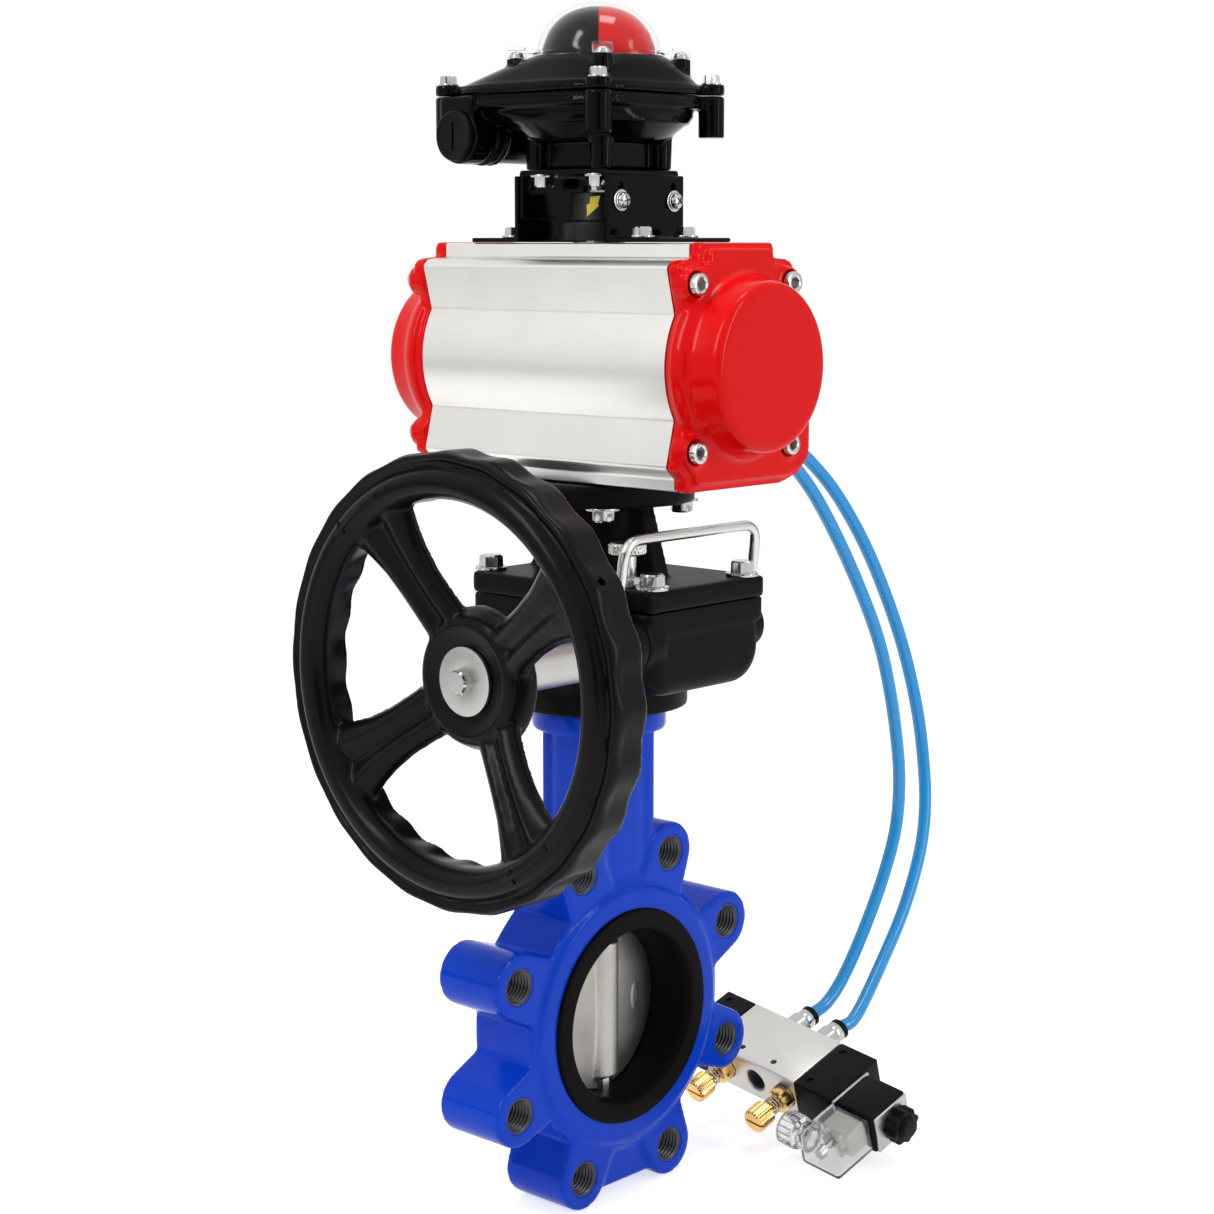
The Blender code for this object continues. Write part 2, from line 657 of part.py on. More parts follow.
def make_handwheel():
    rim = [
        (WHEEL_R, RIM_BACK_X),
        (WHEEL_R, RIM_FRONT_X + 6),
        (WHEEL_R - 6, RIM_FRONT_X),
        (RIM_INNER_R + 6, RIM_FRONT_X),
        (RIM_INNER_R, RIM_FRONT_X + 6),
        (RIM_INNER_R, RIM_BACK_X - 2),
        (RIM_INNER_R + SHEET, RIM_BACK_X - 2),
        (RIM_INNER_R + SHEET, RIM_FRONT_X + 8),
        (WHEEL_R - SHEET, RIM_FRONT_X + 8),
        (WHEEL_R - SHEET, RIM_BACK_X),
    ]
    wheel = turned("handwheel", rim, BLACK, at=(0, WORM_Y, WORM_Z), axis="X", parent=WHEEL_AXIS, steps=40)
    for i in range(SPOKE_COUNT):
        fuse(wheel, loft(bmesh.new(), spoke(SPOKE_DEG + 90 * i)))
    hub = rod(bmesh.new(), (HUB_FRONT_X, WORM_Y, WORM_Z), (HUB_FRONT_X + 11, WORM_Y, WORM_Z), HUB_R - 3, LARGE, HUB_R)
    fuse(wheel, hub)
    cut(wheel, rod(bmesh.new(), (-170, WORM_Y, WORM_Z), (-120, WORM_Y, WORM_Z), 3.6, TINY))
    washer = [(3.3, -140.3), (14.7, -140.3), (14.7, -142.0), (3.3, -142.0)]
    turned("hub_washer", washer, STEEL, at=(0, WORM_Y, WORM_Z), axis="X", parent=WHEEL_AXIS, steps=MEDIUM)
    head = prism(bmesh.new(), [hexagon(10, WORM_Y, WORM_Z)], -147, -142.3, "X")
    bolt = solid("hub_bolt", head, STEEL, WHEEL_AXIS)
    fuse(bolt, rod(bmesh.new(), (-143, WORM_Y, WORM_Z), (-128.4, WORM_Y, WORM_Z), 3.0, TINY))


# ---------------------------------------------------------------- actuator


def body_outline(g=0.0):
    """The extrusion's section as (x, z), grown outwards by g, with the port pad on +X."""
    bulge = arc(2.6, AXIS_Z, 43.5 + g, -31.5, 31.5, 8)
    left = [(-x, z) for x, z in bulge[::-1]]
    right = [
        (33.9 + g, BASE_Z - g),
        (PAD_X + g - 6, BASE_Z - g + 4),
        (PAD_X + g, BASE_Z - g + 10.6),
        (PAD_X + g, AXIS_Z + 18),
        (39.7 + g, AXIS_Z + 24),
        (39.7 + g, 355.7 + g),
        (36.5 + g, 358.5 + g),
        (24.7 + g, 359.5 + g),
        (24.7 + g, TOP_Z + g),
    ]
    far = [
        (-24.7 - g, TOP_Z + g),
        (-24.7 - g, 359.5 + g),
        (-36.5 - g, 358.5 + g),
        (-39.7 - g, 355.7 + g),
    ]
    low = [(-39.7 - g, 268.9 - g), (-36.5 - g, 266 - g), (-33.9 - g, 264 - g), (-33.9 - g, BASE_Z - g)]
    return right + far + left + low


def make_actuator_body():
    body = solid("actuator_body", prism(bmesh.new(), [body_outline()], -BODY_Y, BODY_Y, "Y"), SILVER)
    cut(body, rod(bmesh.new(), (0, -90, AXIS_Z), (0, 90, AXIS_Z), CYLINDER_R, HUGE))
    bores = rod(bmesh.new(), (0, 0, 250), (0, 0, 300), 14.4, MEDIUM)
    rod(bores, (0, 0, 320), (0, 0, 375), 12.4, MEDIUM)
    cut(body, bores)
    holes = bmesh.new()
    for y in (-PORT_Y, PORT_Y):
        rod(holes, (30, y, PORT_Z), (60, y, PORT_Z), 5.0, TINY)
    for x, z in screw_places():
        for side in (1, -1):
            rod(holes, (x, side * 58, z), (x, side * 80, z), 3.3, TINY)
    cut(body, holes)


def screw_places():
    return [(x, AXIS_Z + dz) for x in (-SCREW_X, SCREW_X) for dz in (-SCREW_DZ, SCREW_DZ)]


def involute(radius, base):
    """How far round an involute from its base circle has turned by the time it reaches `radius`."""
    angle = math.acos(min(1.0, base / radius))
    return math.tan(angle) - angle


def gear_outline():
    base = GEAR_PITCH_R * math.cos(PRESSURE)
    tip, root = GEAR_PITCH_R + ADDENDUM, GEAR_PITCH_R - DEDENDUM
    half_tooth = math.pi / (2 * GEAR_TEETH) - BACKLASH / GEAR_PITCH_R
    at_pitch = involute(GEAR_PITCH_R, base)
    radii = [base + 0.02, GEAR_PITCH_R, tip]
    outline = []
    for i in range(GEAR_TEETH):
        middle = 2 * math.pi * (i + 0.5) / GEAR_TEETH
        flank = [(r, half_tooth + at_pitch - involute(r, base)) for r in radii]
        flank = [(root, flank[0][1] + 0.02)] + flank
        polar = [(r, middle - a) for r, a in flank] + [(r, middle + a) for r, a in reversed(flank)]
        outline += [(r * math.cos(a), r * math.sin(a)) for r, a in polar]
    return outline


def make_pinion():
    pinion = solid("pinion", prism(bmesh.new(), [gear_outline()], 300, 325), STEEL, DRIVE)
    fuse(pinion, rod(bmesh.new(), (0, 0, 259), (0, 0, 301), 14, MEDIUM))
    fuse(pinion, rod(bmesh.new(), (0, 0, 324), (0, 0, 366.4), 12, MEDIUM))
    fuse(pinion, rod(bmesh.new(), (0, 0, 366), (0, 0, 374), 8, SMALL))
    hole = 6.5 + GAP
    cut(pinion, block(bmesh.new(), (-hole, -hole, 250), (hole, hole, 276)))


def rack_outline(inner, outer):
    """One arm, seen from above: teeth on its side at the pitch line, from `inner` to `outer` along Y."""
    pitch = math.pi * GEAR_MODULE
    slope = math.tan(PRESSURE)
    outline = []
    first = math.ceil((inner + pitch * 0.6) / pitch)
    last = math.floor((outer - pitch * 0.6) / pitch)
    root_x, tip_x = GEAR_PITCH_R + DEDENDUM, GEAR_PITCH_R - ADDENDUM
    half = pitch / 4 - BACKLASH
    for i in range(first, last + 1):
        middle = i * pitch
        wide, narrow = half + DEDENDUM * slope, half - ADDENDUM * slope
        outline += [(root_x, middle - wide), (tip_x, middle - narrow)]
        outline += [(tip_x, middle + narrow), (root_x, middle + wide)]
    return [(root_x, inner)] + outline + [(root_x, outer), (24.5, outer), (24.5, inner)]


def make_pistons():
    for side, name in ((-1, "piston_front"), (1, "piston_rear")):
        disc = [(0, side * 35), (PISTON_R, side * 35), (PISTON_R, side * 49), (0, side * 49)]
        disc = disc if side < 0 else disc[::-1]
        at = (0, 0, AXIS_Z)
        piston = turned(name, disc, SILVER, at=at, axis="Y", parent=PISTON_AXIS, steps=LARGE)
        arm = [(side * x, side * y) for x, y in rack_outline(-28, 40)]
        fuse(piston, prism(bmesh.new(), [arm], 301, 324))


def make_end_caps():
    for side, name in ((-1, "end_cap_front"), (1, "end_cap_rear")):
        low, high = sorted((side * (BODY_Y + GAP), side * CAP_PLATE_Y))
        cap = solid(name, prism(bmesh.new(), [body_outline(0.4)], low, high, "Y"), RED)
        boss = [(0, CAP_FACE_Y), (37.0, CAP_FACE_Y), (38.6, CAP_FACE_Y - 2), (39.0, CAP_PLATE_Y + 3)]
        boss += [(41, CAP_PLATE_Y - 1), (0, CAP_PLATE_Y - 1)]
        tool = turned(f"{name}_boss", [(r, side * y) for r, y in boss], None, (0, 0, AXIS_Z), "Y", steps=HUGE)
        boolean(cap, tool, "UNION")
        cut(cap, rod(bmesh.new(), (0, side * 70, AXIS_Z), (0, side * 100, AXIS_Z), 34, MEDIUM))
        holes = bmesh.new()
        for x, z in screw_places():
            rod(holes, (x, side * 70, z), (x, side * 110, z), 3.3, TINY)
            rod(holes, (x, side * 84.3, z), (x, side * 110, z), 5.8, SMALL)
        cut(cap, holes)


def make_cap_screws():
    for i, (x, z) in enumerate(screw_places()):
        head = rod(bmesh.new(), (x, -90.2, z), (x, -84.6, z), 5.0, SMALL)
        screw = solid(f"cap_screw_{i + 1}", head, STEEL)
        fuse(screw, rod(bmesh.new(), (x, -85, z), (x, -62, z), 3.0, TINY))
        cut(screw, rod(bmesh.new(), (x, -95, z), (x, -87.2, z), 2.9, 6))


def make_port_fittings():
    for y, name in ((-PORT_Y, "port_fitting_a"), (PORT_Y, "port_fitting_b")):
        profile = [(0, 75.0), (6.0, 75.0), (6.0, 60), (4.6, 60), (4.6, 45), (0, 45)]
        fitting = turned(name, profile, STEEL, at=(0, y, PORT_Z), axis="X", steps=SMALL)
        fuse(fitting, prism(bmesh.new(), [hexagon(14, y, PORT_Z)], PAD_X + GAP, 61, "X"))


# ---------------------------------------------------------------- switch box


def make_bracket():
    x, y, t = BRACKET_X, BRACKET_Y, 2.0
    top = BRACKET_TOP_Z
    channel = [(-y, 377), (-y, top), (y, top), (y, 377)]
    channel += [(y - t, 377), (y - t, top - t), (t - y, top - t), (t - y, 377)]
    bracket = solid("bracket_top", prism(bmesh.new(), [channel], -x, x, "X"), BLACK)
    holes = rod(bmesh.new(), (0, 0, 390), (0, 0, 405), 9, SMALL)
    for px in (-20, 20):
        for py in (-15.5, 15.5):
            rod(holes, (px, py, 390), (px, py, 405), 2.6, TINY)
    cut(bracket, holes)
    for side, name in ((-1, "bracket_foot_front"), (1, "bracket_foot_rear")):
        inner, outer = side * (y + GAP), side * (y + GAP + t)
        angle = [(inner, 393), (inner, FOOT_Z), (side * 58, FOOT_Z), (side * 58, FOOT_Z + t), (outer, FOOT_Z + t)]
        foot = solid(name, prism(bmesh.new(), [angle + [(outer, 393)]], -25, 25, "X"), BLACK)
        holes = bmesh.new()
        for px in (-15, 15):
            rod(holes, (px, side * 40, 360), (px, side * 40, 375), 3.2, TINY)
        cut(foot, holes)


def make_coupler():
    profile = [(8.3, 367), (8.3, 376), (0, 376), (0, 389), (12.5, 389), (14, 376), (18.6, 375.5), (18.6, 367)]
    coupler = turned("shaft_coupler", profile[::-1], PLASTIC, parent=DRIVE, steps=MEDIUM)
    cut(coupler, block(bmesh.new(), (-1.8, -9, 383), (1.8, 9, 395)))


def make_switch_base():
    pedestal = block(bmesh.new(), (-21, -21, BRACKET_TOP_Z + GAP), (21, 21, 414), 4, 2, upright)
    base = solid("switch_base", pedestal, BOX_BLACK)
    bowl = loft(
        bmesh.new(),
        [
            superellipse(31, 31, 2, 411.5),
            superellipse(41, 41, 2.2, 419.5, 2),
            superellipse(41.5, 45, 3.0, SHELF_Z, 8),
            superellipse(43, 50, 4.5, SHELF_Z + 0.1, BOX_MID_Y),
            superellipse(43, 50, 4.5, SPLIT_Z, BOX_MID_Y),
        ],
    )
    fuse(base, bowl)
    posts = bmesh.new()
    for x, y in POST_AT:
        rod(posts, (x, y, 413.5), (x, y, SPLIT_Z), 6, SMALL)
    for x in (-20, 20):
        for y in (-20, 20):
            rod(posts, (x, y, BRACKET_TOP_Z + GAP), (x, y, 416), 5, TINY)
    fuse(base, posts)
    fuse(base, rod(bmesh.new(), (-46, CONDUIT_Y, CONDUIT_Z), (46, CONDUIT_Y, CONDUIT_Z), 12.5, MEDIUM))
    hollow = loft(
        bmesh.new(), [superellipse(28, 28, 2, 414), superellipse(36, 40, 3, 424, 8), superellipse(37, 43, 4, 440, 10)]
    )
    cut(base, hollow)
    holes = rod(bmesh.new(), (0, 0, 395), (0, 0, 420), 6, SMALL)
    rod(holes, (-60, CONDUIT_Y, CONDUIT_Z), (-22, CONDUIT_Y, CONDUIT_Z), 9.6, SMALL)
    rod(holes, (60, CONDUIT_Y, CONDUIT_Z), (22, CONDUIT_Y, CONDUIT_Z), 9.6, SMALL)
    block(holes, (-30, 38, 416), (30, 50, 430))
    cut(base, holes)


def make_switch_lid():
    low = SPLIT_Z + GAP
    lid = solid(
        "switch_lid",
        loft(
            bmesh.new(),
            [
                superellipse(43, 50, 4.5, low, BOX_MID_Y),
                superellipse(43, 50, 4.5, LID_Z, BOX_MID_Y),
                superellipse(35, 38, 3.0, 445, 4),
                superellipse(30, 30, 2.2, 449.7),
            ],
        ),
        BOX_BLACK,
    )
    posts = bmesh.new()
    for x, y in POST_AT:
        rod(posts, (x, y, low), (x, y, LID_Z), 6, SMALL)
    for x in (-26.5, 26.5):
        for y in (-26.5, 26.5):
            rod(posts, (x, y, low + 1), (x, y, 449), 4.6, TINY)
    fuse(lid, posts)
    hollow = loft(
        bmesh.new(),
        [
            superellipse(37, 43, 4, 430, 10),
            superellipse(37, 43, 4, 436, 10),
            superellipse(25, 25, 2, 446),
            superellipse(25, 25, 2, 455),
        ],
    )
    cut(lid, hollow)


def make_dome():
    rise = DOME_TOP_Z - 454
    wall = 2.0
    angles = [math.pi / 2 * i / 5 for i in range(6)]
    outer = [(DOME_R * math.cos(a), 454 + rise * math.sin(a)) for a in angles]
    inner = [((DOME_R - wall) * math.cos(a), 454 + (rise - wall) * math.sin(a)) for a in angles]
    profile = [(0, outer[-1][1])] + outer[-2::-1] + [(DOME_R, 450), (DOME_R - wall, 450)] + inner[:-1]
    profile += [(0, inner[-1][1])]
    dome = turned("indicator_dome", profile, CLEAR, steps=LARGE)
    ears = bmesh.new()
    for x in (-26.5, 26.5):
        for y in (-26.5, 26.5):
            rod(ears, (x, y, 449.4), (x, y, 454), 4.6, TINY)
            towards = Vector((x, y, 0)).normalized() * (DOME_R - 1.2)
            rod(ears, (towards.x, towards.y, 452), (x, y, 452), 1.7, 6)
    fuse(dome, ears)


def make_switch_internals():
    beacon = [(0, 471.5), (8, 470.8), (16, 467.5), (22, 461.5), (24.5, 454), (24.5, 447), (0, 447)]
    turned("position_indicator", beacon, RED, parent=DRIVE, steps=MEDIUM)
    shaft = solid("switch_shaft", rod(bmesh.new(), (0, 0, 390), (0, 0, 446.5), 5, SMALL), STEEL, DRIVE)
    fuse(shaft, block(bmesh.new(), (-1.4, -4.4, 384), (1.4, 4.4, 391)))
    cam = rod(bmesh.new(), (0, 0, 419), (0, 0, 431), 11, MEDIUM)
    cams = solid("switch_cams", cam, PLASTIC, DRIVE)
    fuse(cams, block(bmesh.new(), (-4, -14, 420), (4, 0, 424)))
    cut(cams, rod(bmesh.new(), (0, 0, 410), (0, 0, 440), 5.3, SMALL))
    switches = block(bmesh.new(), (17, -14, 423.5), (26, 8, 437), 1, 1)
    solid("microswitch_pair", switches, PLASTIC)
    plug = [(0, -49), (11.4, -49), (11.4, -46.3), (9.3, -46.3), (9.3, -34), (0, -34)]
    turned("conduit_plug", plug, PLASTIC, at=(0, CONDUIT_Y, CONDUIT_Z), axis="X", steps=MEDIUM)


# ---------------------------------------------------------------- solenoid valve


def make_valve_block():
    size = block(bmesh.new(), (BLOCK_L0, 0, 0), (BLOCK_L1, VALVE_W, VALVE_T), 0.8, 1)
    body = solid("valve_block", size, VALVE_SILVER, SOLENOID)
    ports = rod(bmesh.new(), (0, VALVE_W / 2, MID_T), (120, VALVE_W / 2, MID_T), 6.0, SMALL)
    for at in OUTLET_L:
        rod(ports, (at, -5, MID_T), (at, VALVE_W / 2, MID_T), 4.4, TINY)
    for at in (*EXHAUST_L, INLET_L):
        rod(ports, (at, VALVE_W + 5, MID_T), (at, VALVE_W / 2, MID_T), 5.4, SMALL)
    for at in (39.0, 61.0):
        rod(ports, (at, 31, -5), (at, 31, 40), 1.7, 6)
    cut(body, ports)
    lands = [(0, 74), (5.7, 74), (5.7, 67), (3.5, 65), (3.5, 54), (5.7, 52), (5.7, 44), (3.5, 42), (3.5, 33)]
    lands += [(5.7, 31), (5.7, 24), (0, 24)]
    turned("valve_spool", lands, STEEL, at=(0, VALVE_W / 2, MID_T), axis="X", parent=SPOOL_AXIS, steps=SMALL)
    end = block(bmesh.new(), (0, 0, 0), (BLOCK_L0 - GAP, VALVE_W, VALVE_T), 1, 1)
    solid("end_block", end, PLASTIC, SOLENOID)
    pilot = block(bmesh.new(), (BLOCK_L1 + GAP, 0, 0), (PILOT_L1 - GAP, VALVE_W, VALVE_T), 1, 1)
    solid("pilot_block", pilot, PLASTIC, SOLENOID)


def make_coil():
    coil = block(bmesh.new(), (PILOT_L1, 10.8, 0.5), (133, 37, 22.5), 1.5, 2)
    solid("solenoid_coil", coil, PLASTIC, SOLENOID)
    nut = [(0, 142.8), (7.5, 142.8), (9.6, 141), (9.6, 134.8), (8, 133.3), (0, 133.3)]
    turned("coil_nut", nut, PLASTIC, at=(0, 22, 12), axis="X", parent=NUT_AXIS, steps=SMALL)
    plug = block(bmesh.new(), (105.8, 37.4, 1), (130.5, 64, 20.5), 1.5, 2)
    plug = solid("cable_plug", plug, CLEAR, SOLENOID)
    fuse(plug, rod(bmesh.new(), (108, 55, 11.5), (89, 55, 11.5), 8.8, MEDIUM))
    cut(plug, rod(bmesh.new(), (80, 55, 11.5), (102, 55, 11.5), 4.5, SMALL))


def make_exhaust_valves():
    """Needle valves on the exhaust ports: a hex body, a spring and a knurled knob on a screw."""
    for i, at in enumerate(EXHAUST_L):
        y, z = at, MID_T
        seat_nut = rod(bmesh.new(), (y, VALVE_W + GAP, z), (y, VALVE_W + 7.2, z), 7.2, 6)
        body = solid(f"muffler_body_{i + 1}", seat_nut, BRASS, SOLENOID)
        fuse(body, rod(bmesh.new(), (y, VALVE_W - 9, z), (y, VALVE_W + 1, z), 5.0, TINY))
        cut(body, rod(bmesh.new(), (y, VALVE_W - 4, z), (y, VALVE_W + 10, z), 2.4, TINY))
        knob = rod(bmesh.new(), (y, VALVE_W + 14, z), (y, VALVE_W + 25, z), 6.5, MEDIUM)
        needle = solid(f"needle_knob_{i + 1}", knob, BRASS, NEEDLE_AXES[i])
        fuse(needle, rod(bmesh.new(), (y, VALVE_W - 3, z), (y, VALVE_W + 15, z), 2.0, TINY))
        make_spring(f"needle_spring_{i + 1}", at)


def make_spring(name, at):
    coils, per_coil = 3.0, 8
    wire = 0.8
    radius = 4.2
    low, high = VALVE_W + 7.2 + GAP + wire / 2, VALVE_W + 14 - GAP - wire / 2
    points = []
    for i in range(int(coils * per_coil) + 1):
        angle = 2 * math.pi * i / per_coil
        rise = low + (high - low) * i / (coils * per_coil)
        points.append(Vector((at + radius * math.cos(angle), rise, MID_T + radius * math.sin(angle))))
    pairs = [(a, b) for i, a in enumerate(points) for b in points[i + per_coil // 2 :]]
    print(name, "least gap to itself", round(min((a - b).length for a, b in pairs) - wire, 2), "mm")
    tube(name, points, wire, STEEL, 1, SOLENOID)


def tube(name, points, diameter, finish, resolution, parent=ASSEMBLY):
    curve = bpy.data.curves.new(name, "CURVE")
    curve.dimensions = "3D"
    curve.bevel_depth = diameter / 2 * MM
    curve.bevel_resolution = resolution
    curve.use_fill_caps = True
    spline = curve.splines.new("POLY")
    spline.points.add(len(points) - 1)
    for point, at in zip(spline.points, points):
        point.co = (*(at * MM), 1)
    curve.materials.append(finish)
    obj = bpy.data.objects.new(name, curve)
    PARTS.objects.link(obj)
    seat(obj, parent)
    return obj


def make_tube_fittings():
    for i, at in enumerate(OUTLET_L):
        profile = [(0, -19.2), (5.6, -19.2), (5.6, -11.5), (4.0, -11.5), (4.0, 8), (0, 8)]
        name = f"push_in_fitting_{'ab'[i]}"
        fitting = turned(name, profile, STEEL, at=(at, 0, MID_T), axis="Y", parent=SOLENOID, steps=SMALL)
        fuse(fitting, rod(bmesh.new(), (at, -12, MID_T), (at, -GAP, MID_T), 7.0, 6))


# ---------------------------------------------------------------- air tubes

TUBE_A = [
    (75.3, -12, 280), (89, -12, 279.6), (104, -12, 275.5), (118, -12, 267), (131, -12, 256), (153, -12, 235),
    (181, -12, 199), (206, -12, 159), (219, -12, 126), (227, -12, 93), (229, -12, 70), (226.5, -11.5, 47),
    (216, -11, 22), (200, -10.5, -4), (184, -9.9, -25),
]
TUBE_B = [
    (75.3, 12, 280), (90, 12, 280), (108, 12, 279), (130, 12, 275.2), (152, 12, 267), (176, 12, 253),
    (197, 8, 232), (221, 4, 198), (243.5, 0, 153), (255, -4, 113), (257.5, -8, 80), (254, -12, 55),
    (244, -16, 33), (225, -20, 7), (201, -24, -15.5),
]


def smooth_route(route, spacing):
    """Points at even steps along a Catmull-Rom curve through the route."""
    ends = [route[0] * 2 - route[1]] + route + [route[-1] * 2 - route[-2]]
    fine = []
    for a, b, c, d in zip(ends, ends[1:], ends[2:], ends[3:]):
        for k in range(12):
            t = k / 12
            bend = 2 * a - 5 * b + 4 * c - d
            twist = 3 * b - a - 3 * c + d
            fine.append((2 * b + (c - a) * t + bend * t**2 + twist * t**3) / 2)
    fine.append(route[-1])
    lengths = [0.0]
    for a, b in zip(fine, fine[1:]):
        lengths.append(lengths[-1] + (b - a).length)
    count = round(lengths[-1] / spacing)
    points = []
    k = 0
    for i in range(count + 1):
        target = lengths[-1] * i / count
        while k < len(fine) - 2 and lengths[k + 1] < target:
            k += 1
        share = (target - lengths[k]) / (lengths[k + 1] - lengths[k])
        points.append(fine[k].lerp(fine[k + 1], share))
    return points, lengths[-1]


def make_tubes():
    to_assembly = Matrix.Translation(Vector(VALVE_CORNER)) @ valve_frame()
    for name, route, at in (("air_tube_a", TUBE_A, OUTLET_L[0]), ("air_tube_b", TUBE_B, OUTLET_L[1])):
        exit_points = [to_assembly @ Vector((at, w, MID_T)) for w in (-32.0, -19.5)]
        points, length = smooth_route([Vector(p) for p in route] + exit_points, TUBE_D * 2.4)
        print(name, "length", round(length, 1), "mm in", len(points), "points")
        tube(name, points, TUBE_D, TUBE_BLUE, 2)


def main():
    make_valve_body()
    make_liner()
    make_disc()
    make_stems()
    make_housing()
    make_cover()
    make_worm_gear()
    make_worm()
    make_sleeves()
    make_bail()
    make_lock_pin()
    make_drive_shaft()
    make_handwheel()
    make_actuator_body()
    make_pinion()
    make_pistons()
    make_end_caps()
    make_cap_screws()
    make_port_fittings()
    make_bracket()
    make_coupler()
    make_switch_base()
    make_switch_lid()
    make_dome()
    make_switch_internals()
    make_valve_block()
    make_coil()
    make_exhaust_valves()
    make_tube_fittings()
    make_tubes()


main()
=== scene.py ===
"""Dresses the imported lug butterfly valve, its gearbox, air actuator, switch box and solenoid valve.

Pieces are modelled in millimetres in the stem frame: Z up along the stem, Y along the pipe and the
origin at the centre of the bore. Each piece is scaled to metres and put in place as it is finished.
"""

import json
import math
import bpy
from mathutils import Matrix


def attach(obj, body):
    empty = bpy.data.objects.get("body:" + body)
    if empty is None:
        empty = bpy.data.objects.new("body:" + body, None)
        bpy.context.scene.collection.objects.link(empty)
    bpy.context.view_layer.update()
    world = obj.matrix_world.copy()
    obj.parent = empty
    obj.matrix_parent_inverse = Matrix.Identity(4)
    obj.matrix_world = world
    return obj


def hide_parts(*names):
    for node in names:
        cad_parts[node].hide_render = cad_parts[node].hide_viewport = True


bl_info = {
    "name": "Actuated Butterfly Valve Scene",
    "version": (1, 0, 0),
    "blender": (4, 5, 0),
    "location": "View3D > Sidebar > Valve",
    "description": "Models and finishes every visible piece of an actuated lug butterfly valve",
    "category": "Object",
}

import bmesh
import bpy
from bpy.props import FloatProperty, FloatVectorProperty, IntProperty, PointerProperty
from bpy.types import Operator, Panel, PropertyGroup
from mathutils import Euler, Matrix, Vector

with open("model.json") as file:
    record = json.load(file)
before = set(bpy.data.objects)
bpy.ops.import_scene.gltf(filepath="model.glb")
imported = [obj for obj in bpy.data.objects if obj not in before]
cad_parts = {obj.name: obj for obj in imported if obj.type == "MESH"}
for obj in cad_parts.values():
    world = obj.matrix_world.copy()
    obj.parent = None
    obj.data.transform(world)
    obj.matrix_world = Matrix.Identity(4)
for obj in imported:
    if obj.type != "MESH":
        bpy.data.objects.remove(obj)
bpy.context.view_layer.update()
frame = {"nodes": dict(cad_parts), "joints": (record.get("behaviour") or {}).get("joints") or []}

MM = 0.001
JOINTS = {joint["name"]: joint for joint in frame["joints"]}
STEM = Matrix.Translation(Vector(JOINTS["drive_turn"]["pos_m"])) @ Matrix.Scale(MM, 4)
AXES = {
    "X": Matrix.Rotation(math.pi / 2, 3, "Y"),
    "Y": Matrix.Rotation(-math.pi / 2, 3, "X"),
    "Z": Matrix.Identity(3),
}


def in_stem(joint):
    """The place of a joint in the stem frame, in millimetres."""
    return STEM.inverted() @ Vector(JOINTS[joint]["pos_m"])


def solenoid_frame():
    """The solenoid valve's own frame: its length, width and thickness from one corner of its end."""
    length = Vector(JOINTS["spool_shift"]["axis"]).normalized()
    width = Vector(JOINTS["needle_1_turn"]["axis"]).normalized()
    turn = Matrix((length, width, length.cross(width))).transposed().to_4x4()
    needle = Matrix.Translation(Vector(JOINTS["needle_1_turn"]["pos_m"]))
    corner = Matrix.Translation(-Vector((EXHAUST_L[0], BLOCK_W, MID_T)))
    return needle @ turn @ Matrix.Scale(MM, 4) @ corner


# Solenoid valve, along its length, width and thickness
BLOCK_W = 37.7
BLOCK_T = 23.6
BLOCK_L = (20.7, 80.3)
MID_T = 11.8
OUTLET_L = (41.0, 61.5)
EXHAUST_L = (30.7, 72.7)
INLET_L = 51.7
SOLENOID = solenoid_frame()

WHEEL = in_stem("handwheel_turn")
SLEEVE = in_stem("clutch_swing")
HANDLE_HOLE_DEG = 148.5

# Butterfly valve
BORE_R = 40.5
LIP_R = 52.0
LIP_Y = 23.0
RING_R = 62.0
RING_Y = 21.0
LUG_Y = 19.0
LUG_R = 15.2
LUG_RADIUS = 80.0
THREAD_R = 7.95
DISC_R = 39.9
REST_DEG = 6.0

# Gearbox
BOX_X = 40.7
BOX_Y = (-67.8, 44.5)
BOX_Z = (164.0, 203.1)
LEDGE_Z = 193.0
COVER_Z = (203.3, 213.4)
COLUMN_R = 25.5
TOP_FLANGE_Z = (247.0, 257.7)
TOP_FLANGE_R = 45.0
COVER_BOLT_AT = [(x, y) for x in (-31.4, 31.4) for y in (-61.2, 40.5)]
FLANGE_BOLT_AT = [(x, y) for x in (-27.5, 27.5) for y in (-27.5, 27.5)]
PIN_AT = (-31.0, -45.8)

# Actuator
AXIS_Z = 312.3
BODY_Y = 76.0
CAP_Y = (76.3, 83.0, 86.3)
BOSS_Y = 104.0
SCREW_AT = [(x, AXIS_Z + dz) for x in (-32.5, 32.5) for dz in (-36.2, 36.2)]
PORT_Z = 280.0
PORT_Y = 12.0
TOP_Z = 366.1

# Switch box
FOOT_Z = 366.4
SPLIT_Z = 432.6
LID_Z = 437.5
POST_AT = [(x, y) for x in (-38.5, 38.5) for y in (-35.0, 59.0)]
EAR_AT = [(x, y) for x in (-26.5, 26.5) for y in (-26.5, 26.5)]
CONDUIT = Vector((0, 46.0, 414.5))
QUARTER_DEG = 42.5

# Camera, in the stem frame, and the point in metres that the lamps look at
CAMERA_AT = (-828.42, -762.86, 366.76)
CAMERA_DOWN_DEG = 8.63
CAMERA_TURN_DEG = 47.55
LAMP_AIM = Vector((0, 0, 0.3))

# ---------------------------------------------------------------- modelling helpers


